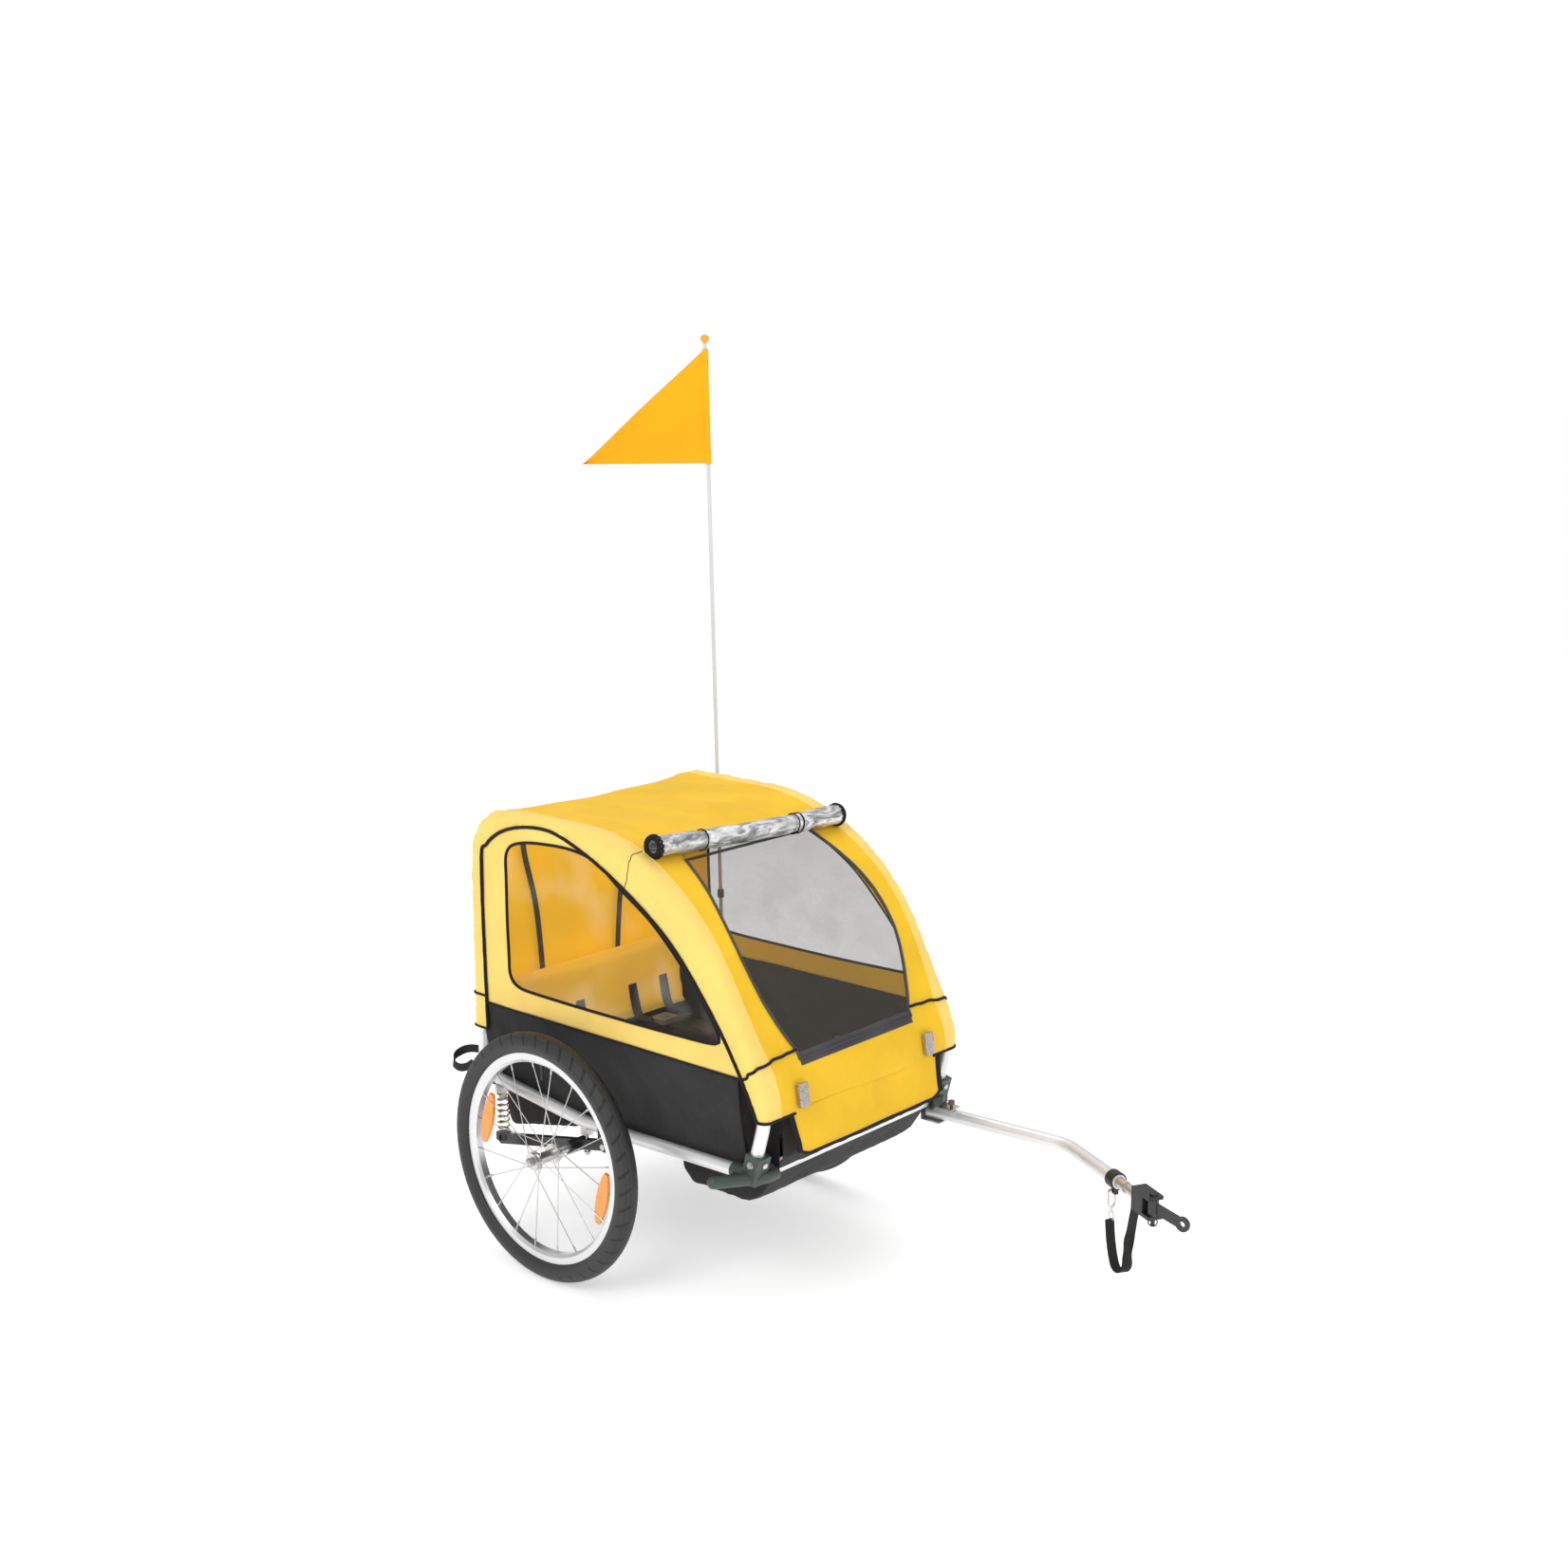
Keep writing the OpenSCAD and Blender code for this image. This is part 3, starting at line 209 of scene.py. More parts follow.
def math_node(nodes, links, kind, a, b=None):
    n = nodes.new("ShaderNodeMath")
    n.operation = kind
    for i, value in enumerate((a, b)):
        if value is None:
            continue
        if isinstance(value, (int, float)):
            n.inputs[i].default_value = value
        else:
            links.new(value, n.inputs[i])
    return n.outputs[0]


def weave_group():
    """Crossed threads: a height and a slow colour patchiness, on Object coordinates."""
    tree, ins, outs = group("cloth weave", [("Threads per metre", "NodeSocketFloat", 900.0),
                                            ("Patch size", "NodeSocketFloat", 9.0)],
                            [("Height", "NodeSocketFloat"), ("Patch", "NodeSocketFloat"),
                             ("Crease", "NodeSocketFloat")])
    n, l = tree.nodes, tree.links
    coord = n.new("ShaderNodeTexCoord")
    split = n.new("ShaderNodeSeparateXYZ")
    l.new(coord.outputs["Object"], split.inputs[0])
    scaled = []
    for axis in "XYZ":
        k = math_node(n, l, "MULTIPLY", split.outputs[axis], ins.outputs["Threads per metre"])
        scaled.append(math_node(n, l, "SINE", math_node(n, l, "MULTIPLY", k, 6.283)))
    ab = math_node(n, l, "MULTIPLY", scaled[0], scaled[2])
    bc = math_node(n, l, "MULTIPLY", scaled[1], scaled[2])
    both = math_node(n, l, "ADD", ab, bc)
    l.new(both, outs.inputs["Height"])
    cloud = n.new("ShaderNodeTexNoise")
    cloud.inputs["Detail"].default_value = 5
    l.new(coord.outputs["Object"], cloud.inputs["Vector"])
    l.new(ins.outputs["Patch size"], cloud.inputs["Scale"])
    l.new(cloud.outputs["Fac"], outs.inputs["Patch"])
    crease = n.new("ShaderNodeTexNoise")
    crease.inputs["Scale"].default_value = 16
    crease.inputs["Detail"].default_value = 2
    crease.inputs["Distortion"].default_value = 1.2
    l.new(coord.outputs["Object"], crease.inputs["Vector"])
    l.new(crease.outputs["Fac"], outs.inputs["Crease"])
    return tree


def grain_group():
    """Fine grain and slow unevenness for hard surfaces."""
    tree, ins, outs = group("surface grain", [("Fine", "NodeSocketFloat", 900.0),
                                              ("Slow", "NodeSocketFloat", 14.0)],
                            [("Grain", "NodeSocketFloat"), ("Smudge", "NodeSocketFloat")])
    n, l = tree.nodes, tree.links
    coord = n.new("ShaderNodeTexCoord")
    for label, source, detail in (("Grain", "Fine", 3), ("Smudge", "Slow", 6)):
        tex = n.new("ShaderNodeTexNoise")
        tex.inputs["Detail"].default_value = detail
        l.new(coord.outputs["Object"], tex.inputs["Vector"])
        l.new(ins.outputs[source], tex.inputs["Scale"])
        l.new(tex.outputs["Fac"], outs.inputs[label])
    return tree


WEAVE = weave_group()
GRAIN = grain_group()


def finish(name, colour, roughness, metallic=0.0, **extra):
    """A material with a Principled shader, and its nodes and links."""
    m = bpy.data.materials.new(name)
    m.use_nodes = True
    m.diffuse_color = (*colour, 1)
    shader = m.node_tree.nodes["Principled BSDF"]
    shader.inputs["Base Color"].default_value = (*colour, 1)
    shader.inputs["Roughness"].default_value = roughness
    shader.inputs["Metallic"].default_value = metallic
    for key, value in extra.items():
        shader.inputs[key.replace("_", " ")].default_value = value
    return m, m.node_tree.nodes, m.node_tree.links, shader


def ramp(nodes, links, source, low, high, stops=(0.3, 0.7)):
    r = nodes.new("ShaderNodeValToRGB")
    r.color_ramp.elements[0].position, r.color_ramp.elements[1].position = stops
    r.color_ramp.elements[0].color = (*low, 1)
    r.color_ramp.elements[1].color = (*high, 1)
    links.new(source, r.inputs[0])
    return r.outputs[0]


def shades(colour, by):
    return tuple(c * (1 - by) for c in colour), tuple(min(1, c * (1 + by)) for c in colour)


def cloth(name, colour, roughness=0.75, threads=900, strength=0.25, variation=0.12, sheen=0.03, creases=0.0):
    m, n, l, shader = finish(name, colour, roughness, Sheen_Weight=sheen, Sheen_Roughness=0.5,
                             Specular_IOR_Level=0.22)
    w = n.new("ShaderNodeGroup")
    w.node_tree = WEAVE
    w.inputs["Threads per metre"].default_value = threads
    l.new(ramp(n, l, w.outputs["Patch"], *shades(colour, variation)), shader.inputs["Base Color"])
    bump = n.new("ShaderNodeBump")
    bump.inputs["Strength"].default_value = strength
    bump.inputs["Distance"].default_value = 0.0004
    l.new(w.outputs["Height"], bump.inputs["Height"])
    if creases:
        fold = n.new("ShaderNodeBump")
        fold.inputs["Strength"].default_value = creases
        fold.inputs["Distance"].default_value = 0.004
        l.new(w.outputs["Crease"], fold.inputs["Height"])
        l.new(fold.outputs[0], bump.inputs["Normal"])
    l.new(bump.outputs[0], shader.inputs["Normal"])
    return m


def hard(name, colour, roughness, metallic=0.0, fine=900, bumpiness=0.05, variation=0.05, **extra):
    m, n, l, shader = finish(name, colour, roughness, metallic, **extra)
    g = n.new("ShaderNodeGroup")
    g.node_tree = GRAIN
    g.inputs["Fine"].default_value = fine
    l.new(ramp(n, l, g.outputs["Smudge"], *shades(colour, variation)), shader.inputs["Base Color"])
    rough = n.new("ShaderNodeMapRange")
    rough.inputs["To Min"].default_value = max(0.02, roughness - 0.07)
    rough.inputs["To Max"].default_value = min(1, roughness + 0.09)
    l.new(g.outputs["Smudge"], rough.inputs["Value"])
    l.new(rough.outputs[0], shader.inputs["Roughness"])
    bump = n.new("ShaderNodeBump")
    bump.inputs["Strength"].default_value = bumpiness
    bump.inputs["Distance"].default_value = 0.0003
    l.new(g.outputs["Grain"], bump.inputs["Height"])
    l.new(bump.outputs[0], shader.inputs["Normal"])
    return m


YELLOW = cloth("yellow canopy cloth", (0.88, 0.53, 0.018), 0.62, variation=0.08, creases=0.5)
PALE = cloth("pale yellow band cloth", (0.93, 0.66, 0.17), 0.6, variation=0.07, creases=0.8)
PAINTED_GLOW_LINING = cloth("lit inside of the yellow cloth", (0.92, 0.56, 0.016), 0.8, variation=0.08, creases=0.6)
# painted glow: the inside faces of the yellow cloth shine by their own emission, standing in for light
# inside the cabin
PAINTED_GLOW_LINING.node_tree.nodes["Principled BSDF"].inputs["Emission Color"].default_value = (1.0, 0.62, 0.02, 1)
PAINTED_GLOW_LINING.node_tree.nodes["Principled BSDF"].inputs["Emission Strength"].default_value = 0.32
BLACK_CLOTH = cloth("black side cloth", (0.026, 0.026, 0.026), 0.75, threads=700, strength=0.5,
                    variation=0.25, creases=0.9)
TUB_CLOTH = cloth("black tub cloth", (0.014, 0.013, 0.013), 0.6, threads=500, strength=0.5, variation=0.3,
                  creases=0.8)
BINDING = cloth("black binding tape", (0.012, 0.012, 0.013), 0.8, threads=1200, strength=0.6)
GREY_BINDING = cloth("grey binding tape", (0.08, 0.08, 0.085), 0.8, threads=1200, strength=0.6)
WEBBING = cloth("black webbing", (0.016, 0.015, 0.014), 0.65, threads=450, strength=0.9, variation=0.3)
SEAT_CLOTH = cloth("dark seat cloth", (0.05, 0.038, 0.03), 0.8, threads=600, strength=0.5)
SEAT_BACK_PAINTED_GLOW_CLOTH = cloth("yellow seat back cloth", (0.88, 0.55, 0.05), 0.7, threads=700, strength=0.4, creases=0.5)
# painted glow: the seat back shines by its own emission, standing in for light falling on it inside the
# cabin
SEAT_BACK_PAINTED_GLOW_CLOTH.node_tree.nodes["Principled BSDF"].inputs["Emission Color"].default_value = (1.0, 0.6, 0.08, 1)
SEAT_BACK_PAINTED_GLOW_CLOTH.node_tree.nodes["Principled BSDF"].inputs["Emission Strength"].default_value = 0.22
FLAG_CLOTH = cloth("flag cloth", (0.90, 0.42, 0.0), 0.7, threads=1100, strength=0.2, variation=0.05,
                   creases=0.3)
ALLOY = hard("satin alloy tube", (0.80, 0.80, 0.81), 0.34, 0.55, bumpiness=0.03, variation=0.03)
RIM_ALLOY = hard("polished rim alloy", (0.72, 0.72, 0.73), 0.28, 0.9, variation=0.04)
ZINC = hard("zinc plated steel", (0.62, 0.61, 0.6), 0.3, 0.95, variation=0.08)
BLACK_STEEL = hard("black painted steel", (0.012, 0.012, 0.013), 0.35, 0.0, Coat_Weight=0.3)
SPRING_STEEL = hard("bright spring wire", (0.62, 0.56, 0.45), 0.22, 1.0)
MOULDED = hard("grey green moulding", (0.045, 0.062, 0.052), 0.42, fine=1500, bumpiness=0.15, variation=0.12)
BLACK_PLASTIC = hard("black moulded plastic", (0.012, 0.012, 0.012), 0.4, fine=1200, bumpiness=0.12)
WHITE_PLASTIC = hard("white plastic cap", (0.85, 0.85, 0.83), 0.35)
POLE = hard("pale flag pole", (0.62, 0.63, 0.64), 0.3)


def orange_ball_on_pole():
    """The ball on the pole's top is orange, the rest is pale."""
    n, l = POLE.node_tree.nodes, POLE.node_tree.links
    coord = n.new("ShaderNodeTexCoord")
    split = n.new("ShaderNodeSeparateXYZ")
    l.new(coord.outputs["Object"], split.inputs[0])
    top = math_node(n, l, "GREATER_THAN", split.outputs["Z"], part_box("flag_pole")[1][2] - 0.0195)
    shader = n["Principled BSDF"]
    before = shader.inputs["Base Color"].links[0].from_socket
    mix = n.new("ShaderNodeMix")
    mix.data_type = "RGBA"
    l.new(top, mix.inputs[0])
    l.new(before, mix.inputs[6])
    mix.inputs[7].default_value = (0.95, 0.36, 0.01, 1)
    l.new(mix.outputs[2], shader.inputs["Base Color"])


orange_ball_on_pole()
BRONZE = hard("bronzed screw", (0.16, 0.09, 0.06), 0.35, 0.7)
BUCKLE = hard("grey buckle plastic", (0.16, 0.16, 0.17), 0.4)


def tyre_rubber():
    """Black rubber with curved tread cuts on its shoulders, laid round the wheel's axle."""
    m, n, l, shader = finish("tyre rubber", (0.02, 0.02, 0.021), 0.55)
    coord = n.new("ShaderNodeTexCoord")
    place = n.new("ShaderNodeMapping")
    place.inputs["Location"].default_value = (-AXLE_X, 0, -AXLE_Z)
    l.new(coord.outputs["Object"], place.inputs["Vector"])
    split = n.new("ShaderNodeSeparateXYZ")
    l.new(place.outputs[0], split.inputs[0])
    angle = math_node(n, l, "ARCTAN2", split.outputs["Z"], split.outputs["X"])
    across = math_node(n, l, "SUBTRACT", math_node(n, l, "ABSOLUTE", split.outputs["Y"]), 0.36)
    side = math_node(n, l, "ABSOLUTE", across)
    bent = math_node(n, l, "MULTIPLY", math_node(n, l, "POWER", side, 1.5), 900.0)
    phase = math_node(n, l, "ADD", math_node(n, l, "MULTIPLY", angle, 44.0), bent)
    wave = math_node(n, l, "SINE", phase)
    cut = n.new("ShaderNodeMapRange")
    cut.inputs["From Min"].default_value = 0.78
    cut.inputs["From Max"].default_value = 0.95
    l.new(wave, cut.inputs["Value"])
    zone = n.new("ShaderNodeMapRange")
    zone.inputs["From Min"].default_value = 0.006
    zone.inputs["From Max"].default_value = 0.008
    l.new(side, zone.inputs["Value"])
    outer = n.new("ShaderNodeMapRange")
    outer.inputs["From Min"].default_value = 0.021
    outer.inputs["From Max"].default_value = 0.019
    l.new(side, outer.inputs["Value"])
    radius = n.new("ShaderNodeVectorMath")
    radius.operation = "LENGTH"
    flat = n.new("ShaderNodeCombineXYZ")
    l.new(split.outputs["X"], flat.inputs["X"])
    l.new(split.outputs["Z"], flat.inputs["Z"])
    l.new(flat.outputs[0], radius.inputs[0])
    crown = n.new("ShaderNodeMapRange")
    crown.inputs["From Min"].default_value = 0.225
    crown.inputs["From Max"].default_value = 0.232
    l.new(radius.outputs["Value"], crown.inputs["Value"])
    groove = math_node(n, l, "MULTIPLY", cut.outputs[0], zone.outputs[0])
    groove = math_node(n, l, "MULTIPLY", groove, crown.outputs[0])
    centre = math_node(n, l, "SINE", math_node(n, l, "MULTIPLY", across, 900.0))
    centre = math_node(n, l, "MULTIPLY", math_node(n, l, "GREATER_THAN", centre, 0.8), crown.outputs[0])
    height = math_node(n, l, "SUBTRACT", 1.0, math_node(n, l, "MAXIMUM", groove,
                                                        math_node(n, l, "MULTIPLY", centre, 0.4)))
    g = n.new("ShaderNodeGroup")
    g.node_tree = GRAIN
    # painted shade: the tread cuts and centre grooves are coloured darker than the rubber top, as shade in
    # the recesses
    l.new(ramp(n, l, height, (0.004, 0.004, 0.004), (0.024, 0.024, 0.026), (0.2, 0.9)),
          shader.inputs["Base Color"])
    total = math_node(n, l, "ADD", height, math_node(n, l, "MULTIPLY", g.outputs["Grain"], 0.06))
    bump = n.new("ShaderNodeBump")
    bump.inputs["Strength"].default_value = 0.9
    bump.inputs["Distance"].default_value = 0.0016
    l.new(total, bump.inputs["Height"])
    l.new(bump.outputs[0], shader.inputs["Normal"])
    return m


def amber():
    """Clear amber reflector with a grid of small prisms, and a weak painted glow from its emission."""
    m, n, l, shader = finish("amber reflector", (0.95, 0.33, 0.01), 0.18, Coat_Weight=0.8,
                             Emission_Strength=0.12)
    coord = n.new("ShaderNodeTexCoord")
    cell = n.new("ShaderNodeTexVoronoi")
    cell.inputs["Scale"].default_value = 330
    l.new(coord.outputs["Object"], cell.inputs["Vector"])
    l.new(ramp(n, l, cell.outputs["Distance"], (0.98, 0.36, 0.01), (0.8, 0.2, 0.0), (0.1, 0.7)),
          shader.inputs["Base Color"])
    # painted glow: the amber emission makes the reflector shine by itself, though it is no lamp
    shader.inputs["Emission Color"].default_value = (1, 0.32, 0.01, 1)
    bump = n.new("ShaderNodeBump")
    bump.inputs["Strength"].default_value = 0.5
    bump.inputs["Distance"].default_value = 0.0006
    l.new(cell.outputs["Distance"], bump.inputs["Height"])
    l.new(bump.outputs[0], shader.inputs["Normal"])
    return m


def clear_reflector():
    """Clear moulded reflector: bright face with small prisms."""
    m, n, l, shader = finish("clear reflector", (0.6, 0.56, 0.54), 0.12, 0.75, Coat_Weight=1.0)
    coord = n.new("ShaderNodeTexCoord")
    cell = n.new("ShaderNodeTexVoronoi")
    cell.inputs["Scale"].default_value = 420
    l.new(coord.outputs["Object"], cell.inputs["Vector"])
    l.new(ramp(n, l, cell.outputs["Distance"], (0.8, 0.78, 0.77), (0.25, 0.2, 0.18), (0.05, 0.65)),
          shader.inputs["Base Color"])
    bump = n.new("ShaderNodeBump")
    bump.inputs["Strength"].default_value = 0.8
    bump.inputs["Distance"].default_value = 0.0006
    l.new(cell.outputs["Distance"], bump.inputs["Height"])
    l.new(bump.outputs[0], shader.inputs["Normal"])
    return m


def clear_film(name, alpha, tint=(0.86, 0.9, 0.84)):
    """Thin clear sheet: glossy, slightly wavy, mostly see-through."""
    m, n, l, shader = finish(name, tint, 0.1, Specular_IOR_Level=0.6, Coat_Weight=0.4)
    coord = n.new("ShaderNodeTexCoord")
    wave = n.new("ShaderNodeTexNoise")
    wave.inputs["Scale"].default_value = 7
    l.new(coord.outputs["Object"], wave.inputs["Vector"])
    bump = n.new("ShaderNodeBump")
    bump.inputs["Strength"].default_value = 0.35
    bump.inputs["Distance"].default_value = 0.02
    l.new(wave.outputs["Fac"], bump.inputs["Height"])
    l.new(bump.outputs[0], shader.inputs["Normal"])
    haze = n.new("ShaderNodeMapRange")
    haze.inputs["From Min"].default_value = 0.5
    haze.inputs["From Max"].default_value = 0.75
    haze.inputs["To Min"].default_value = alpha
    haze.inputs["To Max"].default_value = min(1, alpha * 9)
    l.new(wave.outputs["Fac"], haze.inputs["Value"])
    l.new(haze.outputs[0], shader.inputs["Alpha"])
    return m


def net_cloth():
    """Fine dark net: threads opaque, holes open."""
    m, n, l, shader = finish("insect net", (0.05, 0.045, 0.035), 0.7)
    coord = n.new("ShaderNodeTexCoord")
    split = n.new("ShaderNodeSeparateXYZ")
    l.new(coord.outputs["Object"], split.inputs[0])
    threads = []
    for axis in "YZ":
        s = math_node(n, l, "SINE", math_node(n, l, "MULTIPLY", split.outputs[axis], 2600.0))
        threads.append(math_node(n, l, "ABSOLUTE", s))
    hole = math_node(n, l, "MINIMUM", *threads)
    cover = n.new("ShaderNodeMapRange")
    cover.inputs["From Min"].default_value = 0.2
    cover.inputs["From Max"].default_value = 0.6
    cover.inputs["To Min"].default_value = 0.85
    cover.inputs["To Max"].default_value = 0.35
    l.new(hole, cover.inputs["Value"])
    l.new(cover.outputs[0], shader.inputs["Alpha"])
    return m


TYRE = tyre_rubber()
AMBER = amber()
CLEAR = clear_reflector()
FILM = clear_film("clear window film", 0.02)


def rolled_film():
    """Clear sheet rolled up: crinkled, glossy, silvery where its turns lie on each other; the silver is
    painted reflection, light and dark with the crinkles.
    """
    m, n, l, shader = finish("rolled clear film", (0.6, 0.61, 0.62), 0.12, 0.35, Coat_Weight=1.0)
    coord = n.new("ShaderNodeTexCoord")
    stretch = n.new("ShaderNodeMapping")
    stretch.inputs["Scale"].default_value = (55, 16, 55)
    l.new(coord.outputs["Object"], stretch.inputs["Vector"])
    crinkle = n.new("ShaderNodeTexNoise")
    crinkle.inputs["Scale"].default_value = 1.0
    crinkle.inputs["Detail"].default_value = 6
    crinkle.inputs["Distortion"].default_value = 1.6
    l.new(stretch.outputs[0], crinkle.inputs["Vector"])
    # painted reflection: the base colour goes light and dark with the crinkles, standing in for glints on
    # the clear film
    l.new(ramp(n, l, crinkle.outputs["Fac"], (0.3, 0.31, 0.32), (0.97, 0.97, 0.97), (0.36, 0.56)),
          shader.inputs["Base Color"])
    cover = n.new("ShaderNodeMapRange")
    cover.inputs["From Min"].default_value = 0.35
    cover.inputs["From Max"].default_value = 0.6
    cover.inputs["To Min"].default_value = 0.45
    cover.inputs["To Max"].default_value = 0.8
    l.new(crinkle.outputs["Fac"], cover.inputs["Value"])
    l.new(cover.outputs[0], shader.inputs["Alpha"])
    bump = n.new("ShaderNodeBump")
    bump.inputs["Strength"].default_value = 0.9
    bump.inputs["Distance"].default_value = 0.004
    l.new(crinkle.outputs["Fac"], bump.inputs["Height"])
    l.new(bump.outputs[0], shader.inputs["Normal"])
    return m


ROLL_FILM = rolled_film()
NET = net_cloth()

CAD_FINISH = {
    "side_rail": ALLOY, "hoop_": ALLOY, "front_cross_tube": ALLOY, "rear_cross_tube": ALLOY,
    "roof_spreader": ALLOY,
    "front_corner": MOULDED, "rear_corners": MOULDED, "frame_screws": ZINC,
    "suspension_brackets": BLACK_STEEL,
    "suspension_bolts": ZINC, "spring_caps": WHITE_PLASTIC, "coil_spring": SPRING_STEEL,
    "swing_arm": BLACK_STEEL,
    "wheel_axle": ZINC, "tyre": TYRE, "inner_tube": TYRE, "rim": RIM_ALLOY, "spokes": ZINC, "hub": ZINC,
    "wheel_reflectors": AMBER, "front_reflectors": CLEAR, "flag_holder": BLACK_PLASTIC, "flag_pole": POLE,
    "arm_bracket": ZINC, "arm_lock_knob": BRONZE, "tow_arm": ALLOY, "arm_collar": BLACK_PLASTIC,
    "hitch_ferrule": ZINC, "hitch_block": BLACK_PLASTIC, "hitch_tongue": BLACK_STEEL, "snap_hook": ZINC,
    "harness_buckles": BUCKLE,
}
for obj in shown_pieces():
    for start, material in CAD_FINISH.items():
        if obj.name.startswith(start):
            for i in range(max(1, len(obj.material_slots))):
                if obj.material_slots:
                    obj.material_slots[i].material = material
                else:
                    obj.data.materials.append(material)

# ---------------------------------------------------------------- safety strap
STRAP = [(0.993, 0.172, 0.266), (0.991, 0.174, 0.256), (0.987, 0.177, 0.24), (0.982, 0.181, 0.222),
         (0.977, 0.185, 0.202), (0.972, 0.188, 0.182), (0.968, 0.191, 0.162), (0.966, 0.193, 0.142),
         (0.964, 0.196, 0.124), (0.957, 0.199, 0.109), (0.946, 0.202, 0.104), (0.935, 0.205, 0.109),
         (0.928, 0.207, 0.124), (0.923, 0.208, 0.144), (0.92, 0.208, 0.164), (0.918, 0.208, 0.184),
         (0.917, 0.208, 0.198)]
STRAP_WAY = smooth_path([at(*p) for p in STRAP], 90)


def ribbon(name, way, width, side, material, thick=0.0018, twist=None):
    """Flat webbing along a line, with side as its width direction."""
    side = Vector(side)

    def place(u, v):
        i = min(len(way) - 1, round(v * (len(way) - 1)))
        along = (way[min(i + 1, len(way) - 1)] - way[max(i - 1, 0)]).normalized()
        w = (side - along * side.dot(along)).normalized()
        if twist:
            w = Matrix.Rotation(twist(v), 3, along) @ w
        return way[i] + w * (u - 0.5) * width

    obj = keep(cloth_grid(6, len(way) - 1, place), name, material)
    modifier(obj, "SOLIDIFY", thickness=thick, offset=0)
    return obj


def strap_twist(v):
    return math.radians(70) * math.exp(-((v - 0.42) / 0.1) ** 2)


strap = ribbon("safety_strap_webbing", STRAP_WAY, 0.019, (0.45, 0.89, 0), WEBBING, twist=strap_twist)
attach(strap, "towing_arm")
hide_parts("safety_strap")
([frame["nodes"]["snap_hook"]]
        if not isinstance(frame["nodes"], (list, tuple)) and hasattr(frame["nodes"].get("snap_hook"), "name")
        else [bpy.data.objects["snap_hook"]])

# ---------------------------------------------------------------- canopy
CENTRE_LINE = [Vector((p.x, p.y)) for p in even([Vector((q.x, q.y, 0)) for q in rounded(HOOP, HOOP_BEND)],
                                                900)]


def hoop_station(t):
    """The hoop's centre line at t, front foot to rear foot, and the way out of it."""
    i = min(len(CENTRE_LINE) - 2, max(1, round(t * (len(CENTRE_LINE) - 1))))
    along = (CENTRE_LINE[i + 1] - CENTRE_LINE[i - 1]).normalized()
    return CENTRE_LINE[i], Vector((along.y, -along.x))


PIPING = [(0.497, 0.40), (0.49, 0.42), (0.443, 0.508), (0.374, 0.607), (0.269, 0.72), (0.123, 0.813),
          (-0.005, 0.866),
          (-0.085, 0.874), (-0.168, 0.857), (-0.225, 0.82), (-0.242, 0.77), (-0.237, 0.43), (-0.236, 0.40)]
PIPING_WAY = smooth_path([Vector((x, 0, z)) for x, z in PIPING], 200)


def band_width(c, out):
    """How far the band reaches in from the hoop's outline to the piping."""
    start = c + out * SKIN
    best = 0.03
    for a, b in zip(PIPING_WAY, PIPING_WAY[1:]):
        p, q = Vector((a.x, a.z)), Vector((b.x, b.z))
        r, s = -out, q - p
        cross = r.x * s.y - r.y * s.x
        if abs(cross) < 1e-9:
            continue
        d = p - start
        t, u = (d.x * s.y - d.y * s.x) / cross, (d.x * r.y - d.y * r.x) / cross
        if 0 <= u <= 1 and 0.004 < t < 0.1:
            return t
    return best


FRONT_T, REAR_T = 0.0, 1.0
for k in range(1000):
    if hoop_station(k / 1000)[0].y > 0.42:
        FRONT_T = k / 1000
        break
for k in range(1000, 0, -1):
    if hoop_station(k / 1000)[0].y > 0.436:
        REAR_T = k / 1000
        break
SHELL_ALONG = 620
SHELL_STATIONS = []
for k in range(SHELL_ALONG + 1):
    c, out = hoop_station(FRONT_T + (REAR_T - FRONT_T) * k / SHELL_ALONG)
    SHELL_STATIONS.append((c, out, band_width(c, out)))

BAND_COLUMNS = 10                 # side face and the turn over the tube
EDGE_COLUMNS = 8                  # from the tube in to the front opening
MIDDLE_COLUMNS = 24
COLUMNS = 2 * (BAND_COLUMNS + EDGE_COLUMNS) + MIDDLE_COLUMNS
OPEN_LOW_Z, OPEN_TOP_Z = 0.517, 0.842


def opening_half(z):
    """Half width of the front opening at a height."""
    t = min(1, max(0, (z - OPEN_LOW_Z) / (OPEN_TOP_Z - OPEN_LOW_Z)))
    return 0.166 + 0.048 * math.sin(math.pi * t) ** 0.8


